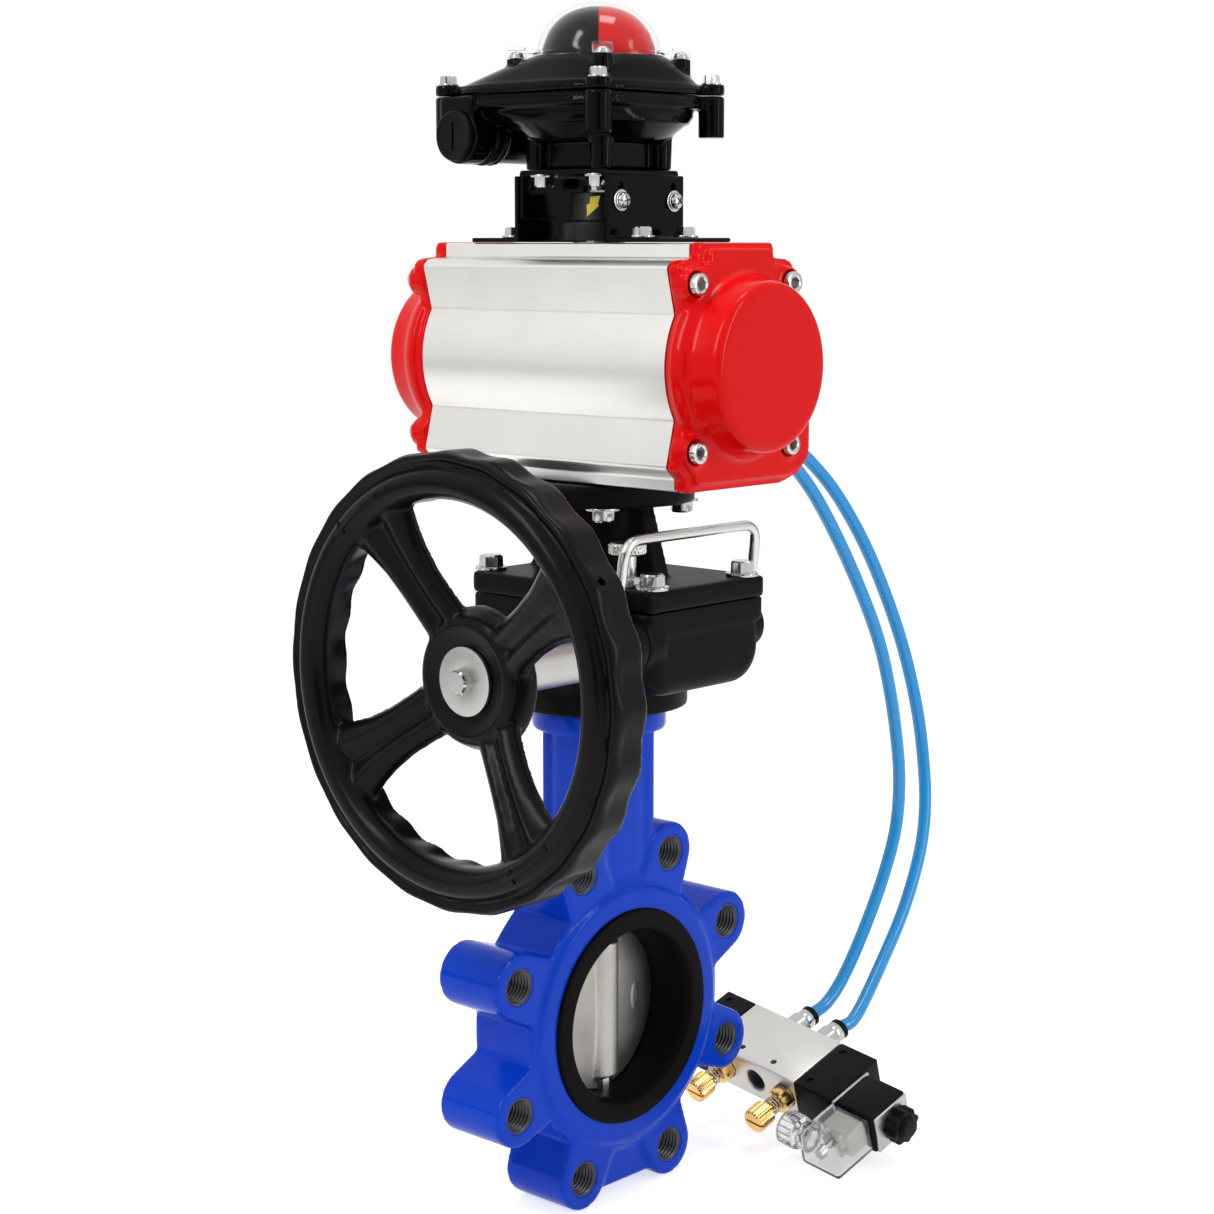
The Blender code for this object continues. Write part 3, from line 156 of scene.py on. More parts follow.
def lathe(bm, profile, at=(0, 0, 0), axis="Z", count=96):
    """Adds a profile of (radius, height) points turned about an axis through `at`."""
    turn, at = AXES[axis], Vector(at)
    rings = []
    for radius, height in profile:
        steps = count if radius > 0 else 1
        angles = [2 * math.pi * k / steps for k in range(steps)]
        spots = [Vector((radius * math.cos(a), radius * math.sin(a), height)) for a in angles]
        rings.append([bm.verts.new(at + turn @ spot) for spot in spots])
    pairs = list(zip(rings, rings[1:]))
    if profile[0][0] > 0 or profile[-1][0] > 0:
        pairs.append((rings[-1], rings[0]))
    for low, high in pairs:
        for k in range(count):
            j = (k + 1) % count
            corners = [low[k % len(low)], low[j % len(low)], high[j % len(high)], high[k % len(high)]]
            bm.faces.new(list(dict.fromkeys(corners)))
    return bm


def eased(points, radius, steps=4, closed=False):
    """The outline with each corner rounded by `radius`; open outlines keep their two ends."""
    points = [Vector(p) for p in points]
    count = len(points)
    made = []
    for i, corner in enumerate(points):
        if not closed and i in (0, count - 1):
            made.append(corner)
            continue
        before, after = points[i - 1] - corner, points[(i + 1) % count] - corner
        reach = min(radius, before.length * 0.49, after.length * 0.49)
        start, end = corner + before.normalized() * reach, corner + after.normalized() * reach
        for k in range(steps + 1):
            t = k / steps
            made.append(start * (1 - t) ** 2 + corner * 2 * t * (1 - t) + end * t**2)
    return [tuple(p) for p in made]


def arc(cx, cy, radius, start_deg, end_deg, steps):
    """Points along an arc of a flat outline, both ends included."""
    angles = [math.radians(start_deg + (end_deg - start_deg) * i / steps) for i in range(steps + 1)]
    return [(cx + radius * math.cos(a), cy + radius * math.sin(a)) for a in angles]


def circle(cx, cy, radius, count=48):
    """A full round outline."""
    return arc(cx, cy, radius, 0, 360 - 360 / count, count - 1)


def hexagon(flats, cx=0.0, cy=0.0, per_side=1):
    """A hexagon between flats, with points along each side."""
    radius = flats / math.sqrt(3)
    corners = [Vector((cx + radius * math.cos(a), cy + radius * math.sin(a))) for a in
               [math.pi * i / 3 for i in range(7)]]
    return [tuple(a.lerp(b, k / per_side)) for a, b in zip(corners, corners[1:]) for k in range(per_side)]


def inset(outline, amount):
    """The closed outline moved inwards; it is taken to run anticlockwise."""
    points = [Vector(p) for p in outline]
    moved = []
    for i, point in enumerate(points):
        a = (point - points[i - 1]).normalized()
        b = (points[(i + 1) % len(points)] - point).normalized()
        normal = Vector((-a.y - b.y, a.x + b.x))
        if normal.length < 1e-6:
            normal = Vector((-a.y, a.x))
        normal.normalize()
        facing = max(0.5, normal.dot(Vector((-a.y, a.x))))
        moved.append(point + normal * amount / facing)
    return [tuple(p) for p in moved]


def anticlockwise(outline):
    """The same outline, turned round if it runs clockwise."""
    area = sum(a[0] * b[1] - b[0] * a[1] for a, b in zip(outline, outline[1:] + outline[:1]))
    return outline if area > 0 else outline[::-1]


def on_plane(u, v, height, axis):
    """A point of a flat outline: (x, y) for Z, (x, z) for Y and (y, z) for X."""
    return {"Z": Vector((u, v, height)), "Y": Vector((u, height, v)), "X": Vector((height, u, v))}[axis]


def loft(bm, sections, caps=True):
    """Adds a skin over closed sections of equal point counts."""
    rings = [[bm.verts.new(point) for point in section] for section in sections]
    for lower, upper in zip(rings, rings[1:]):
        for i in range(len(lower)):
            j = (i + 1) % len(lower)
            bm.faces.new((lower[i], lower[j], upper[j], upper[i]))
    if caps:
        bm.faces.new(rings[0][::-1])
        bm.faces.new(rings[-1])
    return bm


def slab(bm, outline, low, high, axis="Z", radius=0.0, steps=3):
    """Adds a flat outline as a plate, with both rims rounded by `radius`."""
    outline = anticlockwise([tuple(p) for p in outline])
    levels = [(0.0, low), (0.0, high)]
    if radius:
        bend = [(radius * (1 - math.sin(a)), radius * (1 - math.cos(a))) for a in
                [math.pi / 2 * k / steps for k in range(steps + 1)]]
        levels = [(inward, low + rise) for inward, rise in bend]
        levels += [(inward, high - rise) for inward, rise in reversed(bend)]
    sections = [
        [on_plane(u, v, height, axis) for u, v in inset(outline, inward)] for inward, height in levels
    ]
    return loft(bm, sections)


def box(bm, low, high, radius=0.0, steps=3):
    """Adds a block whose edges are rounded."""
    low, high = Vector(low), Vector(high)
    matrix = Matrix.Translation((low + high) / 2) @ Matrix.Diagonal((*(high - low), 1))
    made = bmesh.ops.create_cube(bm, size=1, matrix=matrix)
    if radius:
        edges = list({edge for vert in made["verts"] for edge in vert.link_edges})
        bmesh.ops.bevel(bm, geom=edges, offset=radius, segments=steps, profile=0.5, affect="EDGES")
    return bm


def rod(bm, start, end, radius, sides=48, end_radius=None):
    """Adds a round bar between two points."""
    start, end = Vector(start), Vector(end)
    along = end - start
    turn = along.to_track_quat("Z", "Y").to_matrix().to_4x4()
    far = radius if end_radius is None else end_radius
    matrix = Matrix.Translation((start + end) / 2) @ turn
    bmesh.ops.create_cone(
        bm, cap_ends=True, segments=sides, radius1=radius, radius2=far, depth=along.length, matrix=matrix
    )
    return bm


def superellipse(half_x, half_y, power, z, cy=0.0, count=96):
    """A level section between an ellipse (power 2) and a rounded rectangle."""
    points = []
    for i in range(count):
        angle = 2 * math.pi * (i + 0.5) / count
        c, s = math.cos(angle), math.sin(angle)
        x = half_x * math.copysign(abs(c) ** (2 / power), c)
        y = half_y * math.copysign(abs(s) ** (2 / power), s)
        points.append(Vector((x, y + cy, z)))
    return points


def wire(bm, points, radius, sides=12):
    """Adds a round wire along points, with flat ends."""
    points = [Vector(p) for p in points]
    sections = []
    side = None
    for i, point in enumerate(points):
        along = (points[min(i + 1, len(points) - 1)] - points[max(i - 1, 0)]).normalized()
        if side is None:
            side = along.orthogonal().normalized()
        side = (side - side.dot(along) * along).normalized()
        other = along.cross(side)
        angles = [2 * math.pi * k / sides for k in range(sides)]
        sections.append([point + (side * math.cos(a) + other * math.sin(a)) * radius for a in angles])
    return loft(bm, sections)


def work(bm):
    """A working object from a bmesh, with its faces turned outwards."""
    bmesh.ops.recalc_face_normals(bm, faces=bm.faces)
    mesh = bpy.data.meshes.new("work")
    bm.to_mesh(mesh)
    bm.free()
    obj = bpy.data.objects.new("work", mesh)
    bpy.context.scene.collection.objects.link(obj)
    return obj


def bake(obj):
    """Turns an object with its modifiers into a plain mesh."""
    bpy.context.view_layer.update()
    graph = bpy.context.evaluated_depsgraph_get()
    mesh = bpy.data.meshes.new_from_object(obj.evaluated_get(graph))
    obj.modifiers.clear()
    obj.data = mesh
    return obj


def combine(target, tool, operation):
    """Cuts a working object from the target or joins it on, and removes it."""
    step = target.modifiers.new("combine", "BOOLEAN")
    step.operation = operation
    step.solver = "EXACT"
    step.use_self = operation == "UNION"
    step.object = tool
    bake(target)
    bpy.data.objects.remove(tool, do_unlink=True)
    return target


def cut(target, *tools):
    """Cuts each tool, a bmesh, from the target."""
    for bm in tools:
        combine(target, work(bm), "DIFFERENCE")
    return target


def cast(obj, voxel, passes):
    """Skins joined solids with one even mesh and softens it, which leaves a casting's small fillets."""
    skin = obj.modifiers.new("skin", "REMESH")
    skin.mode = "VOXEL"
    skin.voxel_size = voxel
    soften = obj.modifiers.new("soften", "SMOOTH")
    soften.factor = 0.5
    soften.iterations = passes
    return bake(obj)


def finish(obj, name, material, body, nodes=(), place=None, sharp=35):
    """Puts a piece in place in metres, shades it, gives it its finish and fixes it to its CAD body."""
    mesh = obj.data
    mesh.transform(place or STEM)
    mesh.shade_smooth()
    mesh.set_sharp_from_angle(angle=math.radians(sharp))
    mesh.materials.clear()
    mesh.materials.append(material)
    obj.name = mesh.name = name
    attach(obj, body)
    if nodes:
        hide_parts(*nodes)
    return obj


# ---------------------------------------------------------------- fasteners and repeated shapes


def hex_head(bm, flats, height, washer_r=0.0, washer_h=0.0, base=0.0):
    """Adds a hexagon head with a chamfered crown, on a washer with rounded rims."""
    if washer_r:
        rim = [(0, base), (washer_r, base), (washer_r, base + washer_h), (0, base + washer_h)]
        lathe(bm, eased(rim, 0.25, 2), count=40)
    low, high = base + washer_h - 0.05, base + washer_h + height
    sides = hexagon(flats, per_side=6)
    crown = []
    for level, reach in ((high - 0.08 * flats, 0.56), (high, 0.47)):
        ring = []
        for u, v in sides:
            limit = min(1.0, reach * flats / math.hypot(u, v))
            ring.append(Vector((u * limit, v * limit, level)))
        crown.append(ring)
    loft(bm, [[Vector((u, v, low)) for u, v in sides]] + crown)
    return bm


def socket_head(bm, radius, height, flats, depth):
    """Adds a cylinder head with a hexagon socket and a rounded crown."""
    count = 48
    hex_ring = hexagon(flats, per_side=8)

    def ring(r, z):
        """One level circle of the head."""
        angles = [2 * math.pi * k / count for k in range(count)]
        return [Vector((r * math.cos(a), r * math.sin(a), z)) for a in angles]

    sections = [ring(radius, 0), ring(radius, height - 0.9), ring(radius - 0.25, height - 0.25)]
    sections += [ring(radius - 0.9, height), ring(flats / 2 + 0.7, height)]
    sections += [[Vector((u, v, height - 0.35)) for u, v in hex_ring]]
    sections += [[Vector((u, v, height - depth)) for u, v in hex_ring]]
    return loft(bm, sections)


def cross_head(radius, height):
    """A pan head with a cross recess, on a plain and a spring washer."""
    crown = [(0, 1.6), (radius, 1.6), (radius, 1.6 + height * 0.4), (radius * 0.7, 1.6 + height * 0.85)]
    head = work(lathe(bmesh.new(), eased(crown + [(0, 1.6 + height)], 0.6, 3), count=36))
    half, thick, floor = radius * 0.62, radius * 0.13, 1.6 + height * 0.35
    cut(head, box(bmesh.new(), (-thick, -half, floor), (thick, half, 9)),
        box(bmesh.new(), (-half, -thick, floor), (half, thick, 9)))
    bm = bmesh.new()
    bm.from_mesh(head.data)
    for low, outer in ((0.0, radius * 1.35), (0.8, radius * 1.12)):
        lathe(bm, eased([(0, low), (outer, low), (outer, low + 0.8), (0, low + 0.8)], 0.2, 2), count=36)
    bpy.data.objects.remove(head, do_unlink=True)
    return work(bm)


def repeat_tree():
    """Geometry nodes that set a modelled piece at each point, turned by the point's `turn` attribute."""
    tree = bpy.data.node_groups.new("set_at_points", "GeometryNodeTree")
    tree.interface.new_socket("Geometry", in_out="INPUT", socket_type="NodeSocketGeometry")
    tree.interface.new_socket("Piece", in_out="INPUT", socket_type="NodeSocketObject")
    tree.interface.new_socket("Size", in_out="INPUT", socket_type="NodeSocketFloat")
    tree.interface.new_socket("Finish", in_out="INPUT", socket_type="NodeSocketMaterial")
    tree.interface.new_socket("Geometry", in_out="OUTPUT", socket_type="NodeSocketGeometry")
    nodes, links = tree.nodes, tree.links
    given = nodes.new("NodeGroupInput")
    out = nodes.new("NodeGroupOutput")
    info = nodes.new("GeometryNodeObjectInfo")
    turn = nodes.new("GeometryNodeInputNamedAttribute")
    turn.data_type = "FLOAT_VECTOR"
    turn.inputs["Name"].default_value = "turn"
    to_rotation = nodes.new("FunctionNodeEulerToRotation")
    instance = nodes.new("GeometryNodeInstanceOnPoints")
    realize = nodes.new("GeometryNodeRealizeInstances")
    paint = nodes.new("GeometryNodeSetMaterial")
    links.new(given.outputs["Piece"], info.inputs["Object"])
    links.new(given.outputs["Geometry"], instance.inputs["Points"])
    links.new(info.outputs["Geometry"], instance.inputs["Instance"])
    links.new(turn.outputs["Attribute"], to_rotation.inputs["Euler"])
    links.new(to_rotation.outputs["Rotation"], instance.inputs["Rotation"])
    links.new(given.outputs["Size"], instance.inputs["Scale"])
    links.new(instance.outputs["Instances"], realize.inputs["Geometry"])
    links.new(realize.outputs["Geometry"], paint.inputs["Geometry"])
    links.new(given.outputs["Finish"], paint.inputs["Material"])
    links.new(paint.outputs["Geometry"], out.inputs["Geometry"])
    return tree


def facing(direction, spin_deg=0.0):
    """The Euler turn that points a piece's +Z along `direction`, after a spin about it."""
    turn = Vector(direction).to_track_quat("Z", "Y").to_matrix().to_4x4()
    return (turn @ Matrix.Rotation(math.radians(spin_deg), 4, "Z")).to_euler()


def repeated(master, places, material, size=1.0):
    """One mesh of a modelled piece set at every (point, turn), by the geometry nodes above."""
    tree = bpy.data.node_groups.get("set_at_points") or repeat_tree()
    mesh = bpy.data.meshes.new("places")
    mesh.from_pydata([tuple(point) for point, _ in places], [], [])
    turns = mesh.attributes.new("turn", "FLOAT_VECTOR", "POINT")
    for spot, (_, turn) in zip(turns.data, places):
        spot.vector = tuple(turn)
    obj = bpy.data.objects.new("places", mesh)
    bpy.context.scene.collection.objects.link(obj)
    step = obj.modifiers.new("repeat", "NODES")
    step.node_group = tree
    sockets = {item.name: item.identifier for item in tree.interface.items_tree if item.in_out == "INPUT"}
    step[sockets["Piece"]] = master
    step[sockets["Size"]] = size
    step[sockets["Finish"]] = material
    bake(obj)
    bpy.data.objects.remove(master, do_unlink=True)
    return obj


def set_fasteners(name, head, places, paint, nodes=(), sharp=25, size=1.0):
    """Sets one modelled screw, bolt or nut at every place, in zinc plate."""
    group = repeated(head, places, paint["zinc"], size)
    return finish(group, name, paint["zinc"], "base", nodes, sharp=sharp)


def thread_rings(bm, radius, depth, low, high, pitch, at=(0, 0, 0), axis="Z", count=48):
    """Adds the crests of an internal thread as a closed ring with a toothed bore."""
    turns = round((high - low) / pitch)
    step = (high - low) / turns
    inner = []
    for i in range(turns):
        start = low + step * i
        inner += [(radius, start), (radius, start + 0.12 * step), (radius - depth, start + 0.5 * step)]
        inner += [(radius - depth, start + 0.62 * step)]
    inner.append((radius, high))
    return lathe(bm, inner + [(radius + 0.5, high), (radius + 0.5, low)], at, axis, count)


def knurled(bm, radius, depth, low, high, teeth, crossed=False, rows=12, chamfer=0.8):
    """Adds a knob whose rim is knurled, straight or in crossed diamonds, along +Z."""
    count = teeth * 4
    sections = []
    for row in range(rows + 1):
        z = low + (high - low) * row / rows
        end = min(z - low, high - z)
        drop = max(0.0, chamfer - end)
        ring = []
        for k in range(count):
            angle = 2 * math.pi * k / count
            phase = teeth * angle / 2
            shift = math.pi * (z - low) / (high - low) * 1.5 if crossed else 0.0
            wave = max(abs(math.sin(phase + shift)), abs(math.sin(phase - shift)))
            r = radius - drop - depth * (1 - wave)
            ring.append(Vector((r * math.cos(angle), r * math.sin(angle), z)))
        sections.append(ring)
    return loft(bm, sections)


# ---------------------------------------------------------------- finishes


def relief_group():
    """Fine relief and broad patches in Object coordinates, shared by every finish with a grain."""
    found = bpy.data.node_groups.get("surface_relief")
    if found:
        return found
    tree = bpy.data.node_groups.new("surface_relief", "ShaderNodeTree")
    tree.interface.new_socket("Grain", in_out="INPUT", socket_type="NodeSocketFloat")
    tree.interface.new_socket("Stretch", in_out="INPUT", socket_type="NodeSocketVector")
    tree.interface.new_socket("Height", in_out="OUTPUT", socket_type="NodeSocketFloat")
    tree.interface.new_socket("Patches", in_out="OUTPUT", socket_type="NodeSocketFloat")
    nodes, links = tree.nodes, tree.links
    given, out = nodes.new("NodeGroupInput"), nodes.new("NodeGroupOutput")
    place = nodes.new("ShaderNodeTexCoord")
    stretch = nodes.new("ShaderNodeVectorMath")
    stretch.operation = "MULTIPLY"
    fine, broad = nodes.new("ShaderNodeTexNoise"), nodes.new("ShaderNodeTexNoise")
    fine.inputs["Detail"].default_value = 3
    broad.inputs["Scale"].default_value = 45
    links.new(place.outputs["Object"], stretch.inputs[0])
    links.new(given.outputs["Stretch"], stretch.inputs[1])
    links.new(stretch.outputs["Vector"], fine.inputs["Vector"])
    links.new(given.outputs["Grain"], fine.inputs["Scale"])
    links.new(place.outputs["Object"], broad.inputs["Vector"])
    links.new(fine.outputs["Fac"], out.inputs["Height"])
    links.new(broad.outputs["Fac"], out.inputs["Patches"])
    return tree


def surface(name, colour, roughness, grain=900, depth=0.00003, metallic=0.0, coat=0.0, stretch=(1, 1, 1),
            patchy=0.12, specular=0.5):
    """A finish with fine relief and slight patches of tone and gloss."""
    material = bpy.data.materials.new(name)
    material.use_nodes = True
    nodes, links = material.node_tree.nodes, material.node_tree.links
    shader = nodes["Principled BSDF"]
    shader.inputs["Metallic"].default_value = metallic
    shader.inputs["Specular IOR Level"].default_value = specular
    shader.inputs["Coat Weight"].default_value = coat
    shader.inputs["Coat Roughness"].default_value = 0.04
    relief = nodes.new("ShaderNodeGroup")
    relief.node_tree = relief_group()
    relief.inputs["Grain"].default_value = grain
    relief.inputs["Stretch"].default_value = stretch
    tone = nodes.new("ShaderNodeMix")
    tone.data_type = "RGBA"
    tone.inputs[6].default_value = (*[c * (1 - patchy) for c in colour], 1)
    tone.inputs[7].default_value = (*[min(1, c * (1 + patchy)) for c in colour], 1)
    gloss = nodes.new("ShaderNodeMapRange")
    gloss.inputs["To Min"].default_value = roughness * (1 - patchy)
    gloss.inputs["To Max"].default_value = roughness * (1 + patchy)
    bump = nodes.new("ShaderNodeBump")
    bump.inputs["Distance"].default_value = depth
    links.new(relief.outputs["Patches"], tone.inputs[0])
    links.new(tone.outputs[2], shader.inputs["Base Color"])
    links.new(relief.outputs["Patches"], gloss.inputs["Value"])
    links.new(gloss.outputs["Result"], shader.inputs["Roughness"])
    links.new(relief.outputs["Height"], bump.inputs["Height"])
    links.new(bump.outputs["Normal"], shader.inputs["Normal"])
    return material


def clear_plastic(name, tint, roughness, index):
    """Clear moulded plastic."""
    material = bpy.data.materials.new(name)
    material.use_nodes = True
    shader = material.node_tree.nodes["Principled BSDF"]
    shader.inputs["Base Color"].default_value = (tint, tint, tint, 1)
    shader.inputs["Roughness"].default_value = roughness
    shader.inputs["IOR"].default_value = index
    shader.inputs["Transmission Weight"].default_value = 1
    return material


def sector_paint():
    """The position drum's quarters, black and red in turn about the stem."""
    material = surface("indicator quarters", (0.62, 0.006, 0.006), 0.3, specular=0.1)
    nodes, links = material.node_tree.nodes, material.node_tree.links
    shader = nodes["Principled BSDF"]
    red = shader.inputs["Base Color"].links[0].from_socket
    place = nodes.new("ShaderNodeTexCoord")
    centre = STEM @ Vector((0, 0, 0))
    turned = nodes.new("ShaderNodeMapping")
    turned.vector_type = "TEXTURE"
    turned.inputs["Location"].default_value = centre
    turned.inputs["Rotation"].default_value = (0, 0, math.radians(QUARTER_DEG))
    parts = nodes.new("ShaderNodeSeparateXYZ")
    product = nodes.new("ShaderNodeMath")
    product.operation = "MULTIPLY"
    test = nodes.new("ShaderNodeMath")
    test.operation = "GREATER_THAN"
    test.inputs[1].default_value = 0.0
    mix = nodes.new("ShaderNodeMix")
    mix.data_type = "RGBA"
    mix.inputs[6].default_value = (0.002, 0.002, 0.002, 1)
    links.new(place.outputs["Object"], turned.inputs["Vector"])
    links.new(turned.outputs["Vector"], parts.inputs[0])
    links.new(parts.outputs["X"], product.inputs[0])
    links.new(parts.outputs["Y"], product.inputs[1])
    links.new(product.outputs[0], test.inputs[0])
    links.new(test.outputs[0], mix.inputs[0])
    links.new(red, mix.inputs[7])
    links.new(mix.outputs[2], shader.inputs["Base Color"])
    return material


FINISHES = {}


def finishes(look):
    """Every finish of the valve, by a plain name; made once."""
    if FINISHES:
        return FINISHES
    FINISHES.update(
        epoxy=surface("blue epoxy", look.body_blue, 0.18, 260, 0.00012, coat=0.03, patchy=0.05,
                      specular=0.1),
        rubber=surface("liner rubber", (0.004, 0.004, 0.004), 0.5, 1500, 0.00002, specular=0.04),
        thread=surface("cut thread", (0.07, 0.07, 0.075), 0.35, 2500, 0.00002, metallic=0.6),
        disc=surface("cast stainless", (0.4, 0.385, 0.365), 0.42, 1400, 0.00012, metallic=1.0, patchy=0.2),
        steel=surface("bright steel", (0.58, 0.57, 0.55), 0.24, 1200, 0.00002, metallic=1.0),
        zinc=surface("zinc plate", (0.5, 0.5, 0.49), 0.2, 700, 0.00002, metallic=1.0),
        satin_steel=surface("turned steel", (0.44, 0.43, 0.415), 0.36, 1500, 0.00002, metallic=1.0),
        wheel=surface("wheel paint", (0.003, 0.003, 0.0035), 0.27, 700, 0.00002, specular=0.1),
        gearbox=surface("gearbox paint", (0.0035, 0.0035, 0.004), 0.42, 1100, 0.00009, specular=0.06),
        anodised=surface("anodised extrusion", (0.74, 0.73, 0.71), 0.36, 1600, 0.00005, metallic=1.0,
                         stretch=(1, 0.06, 1), patchy=0.04),
        red=surface("red paint", look.cap_red, 0.18, 300, 0.00005, coat=0.03, patchy=0.03, specular=0.1),
        gloss=surface("gloss black", (0.002, 0.002, 0.0025), 0.14, 350, 0.00004, specular=0.07),
        plastic=surface("black plastic", (0.004, 0.004, 0.0045), 0.42, 1300, 0.00004, specular=0.08),
        coupler=surface("coupler plastic", (0.008, 0.008, 0.009), 0.4, 1300, 0.00003, specular=0.2),
        bronze=surface("machined bronze", (0.55, 0.36, 0.16), 0.3, 900, 0.00002, metallic=1.0),
        brass=surface("bright brass", (0.83, 0.53, 0.19), 0.22, 900, 0.00002, metallic=1.0),
        block=surface("block anodising", (0.68, 0.665, 0.62), 0.4, 1500, 0.00003, metallic=0.85,
                      patchy=0.05),
        nylon=surface("nylon", (0.7, 0.68, 0.6), 0.5, 1200, 0.00002),
        yellow=surface("yellow arrow", (0.85, 0.62, 0.05), 0.5, 1200, 0.00001),
        tube=surface("blue tube", look.tube_blue, 0.18, 500, 0.00001, patchy=0.03),
        clear=clear_plastic("clear polycarbonate", 0.96, 0.03, 1.22),
        smoky=clear_plastic("clear nylon", 0.82, 0.12, 1.42),
        quarters=sector_paint(),
    )
    FINISHES["tube"].node_tree.nodes["Principled BSDF"].inputs["Transmission Weight"].default_value = 0.25
    return FINISHES


# ---------------------------------------------------------------- butterfly valve


def lug_places():
    """The angle and the middle of each of the eight lugs."""
    angles = [math.radians(22.5 + 45 * k) for k in range(8)]
    return [(a, Vector((LUG_RADIUS * math.cos(a), 0, LUG_RADIUS * math.sin(a)))) for a in angles]


def lug_outline(angle):
    """A round boss on the bolt circle that flares into the ring."""
    flare = math.radians(17)
    outline = [(58 * math.cos(angle - flare), 58 * math.sin(angle - flare))]
    turn = math.degrees(angle)
    cx, cz = LUG_RADIUS * math.cos(angle), LUG_RADIUS * math.sin(angle)
    outline += arc(cx, cz, LUG_R, turn - 84, turn + 84, 24)
    outline.append((58 * math.cos(angle + flare), 58 * math.sin(angle + flare)))
    return outline


def make_casting(look):
    """The body: ring, lugs, neck, bottom web and top flange softened together, then drilled."""
    bm = bmesh.new()
    ring = [(46, -RING_Y), (RING_R, -RING_Y), (RING_R, RING_Y), (46, RING_Y)]
    lathe(bm, eased(ring, 1.2, 3, True), axis="Y")
    for angle, _ in lug_places():
        slab(bm, lug_outline(angle), -LUG_Y, LUG_Y, "Y", 1.0)
    slab(bm, circle(0, 0, 66, 96), -LUG_Y, LUG_Y, "Y", 0.6)
    neck = [(23.5, 18, 3, 56), (21.5, 18, 3.4, 70), (20.5, 18, 4, 80), (20.5, 18, 4, 142)]
    loft(bm, [superellipse(x, y, power, z, count=64) for x, y, power, z in neck])
    for side in (-1, 1):
        box(bm, (-20.5, side * 16 - 2, 60), (-13.5, side * 16 + 2.6, 142), 0.8)
        box(bm, (13.5, side * 16 - 2, 60), (20.5, side * 16 + 2.6, 142), 0.8)
    lathe(bm, eased([(0, 139), (32, 139), (32, 150), (0, 150)], 1.0, 3))
    box(bm, (-30, -17, -83.5), (30, 17, -58), 1.0)
    casting = cast(work(bm), 1.3, 3)
    cut(casting, lathe(bmesh.new(), [(0, -30), (47.3, -30), (47.3, 30), (0, 30)], axis="Y"))
    lips = bmesh.new()
    for side in (-1, 1):
        low, high = sorted((side * (RING_Y + 4), side * (RING_Y - 1.2)))
        lathe(lips, [(0, low), (LIP_R + 0.3, low), (LIP_R + 0.3, high), (0, high)], axis="Y")
    cut(casting, lips)
    holes = bmesh.new()
    for _, at in lug_places():
        hole = [(0, -24), (9.6, -24), (9.6, -19.4), (THREAD_R, -17.6)]
        hole += [(THREAD_R, 17.6), (9.6, 19.4), (9.6, 24), (0, 24)]
        lathe(holes, hole, at, "Y", 48)
    cut(casting, holes)
    cut(casting, rod(bmesh.new(), (0, 0, 40), (0, 0, 160), 8.4))
    paint = finishes(look)
    finish(casting, "body_casting", paint["epoxy"], "base", ["valve_body"])
    thread = work(thread_rings(bmesh.new(), THREAD_R, 0.95, -18.4, 18.4, look.thread_pitch, axis="Y"))
    threads = repeated(thread, [(at, (0, 0, 0)) for _, at in lug_places()], paint["thread"])
    finish(threads, "lug_threads", paint["thread"], "base", sharp=30)


def make_liner(look):
    """The rubber seat: a thick sleeve with a rounded lip over each face of the ring."""
    half = [(BORE_R, -18), (BORE_R + 2.2, -LIP_Y), (LIP_R, -LIP_Y), (LIP_R, 1 - RING_Y)]
    half += [(47.2, 1 - RING_Y), (47.2, RING_Y - 1), (LIP_R, RING_Y - 1), (LIP_R, LIP_Y)]
    half += [(BORE_R + 2.2, LIP_Y), (BORE_R, 18)]
    liner = work(lathe(bmesh.new(), eased(half, 1.3, 4, True), axis="Y", count=160))
    finish(liner, "seat_lining", finishes(look)["rubber"], "base", ["seat_liner"])


def disc_height(x, z):
    """Half the disc's thickness: a dished plate with a round hub along the stem and a bare raised pad."""
    radius = math.hypot(x, z)
    plate = 4.5 + (2.4 - 4.5) * min(1, radius / DISC_R) ** 2
    hub = 9.2**2 - x * x
    ridge = math.sqrt(hub) if hub > 0 else 0.0
    fade = max(0.0, min(1.0, (37.6 - abs(z)) / 5))
    ridge *= fade * fade * (3 - 2 * fade)
    pad = max(0.0, min(1.0, 3.2 - math.hypot((x - 24) / 3.4, z / 7.5) * 3.2))
    blend = 1.4
    return (plate + ridge + math.sqrt((plate - ridge) ** 2 + blend)) / 2 + 0.35 * pad


def make_disc(look):
    """The disc as two height fields that meet in a polished edge, turned to its resting angle."""
    rings, steps = 64, 192
    angles = [2 * math.pi * k / steps for k in range(steps)]
    sections = []
    for side in (-1, 1):
        group = []
        for i in range(1, rings + 1):
            r = (DISC_R - 0.5) * i / rings
            spots = [(r * math.cos(a), r * math.sin(a)) for a in angles]
            group.append([Vector((x, side * disc_height(x, z), z)) for x, z in spots])
        sections += group if side < 0 else group[::-1]
    rim = [[Vector((DISC_R * math.cos(a), y, DISC_R * math.sin(a))) for a in angles] for y in (-1.9, 1.9)]
    disc = work(loft(bmesh.new(), sections[:rings] + rim + sections[rings:]))
    paint = finishes(look)
    turn = STEM @ Matrix.Rotation(math.radians(REST_DEG), 4, "Z")
    finish(disc, "disc_casting", paint["disc"], "drive", ["valve_disc"], turn, 30)


# ---------------------------------------------------------------- gearbox


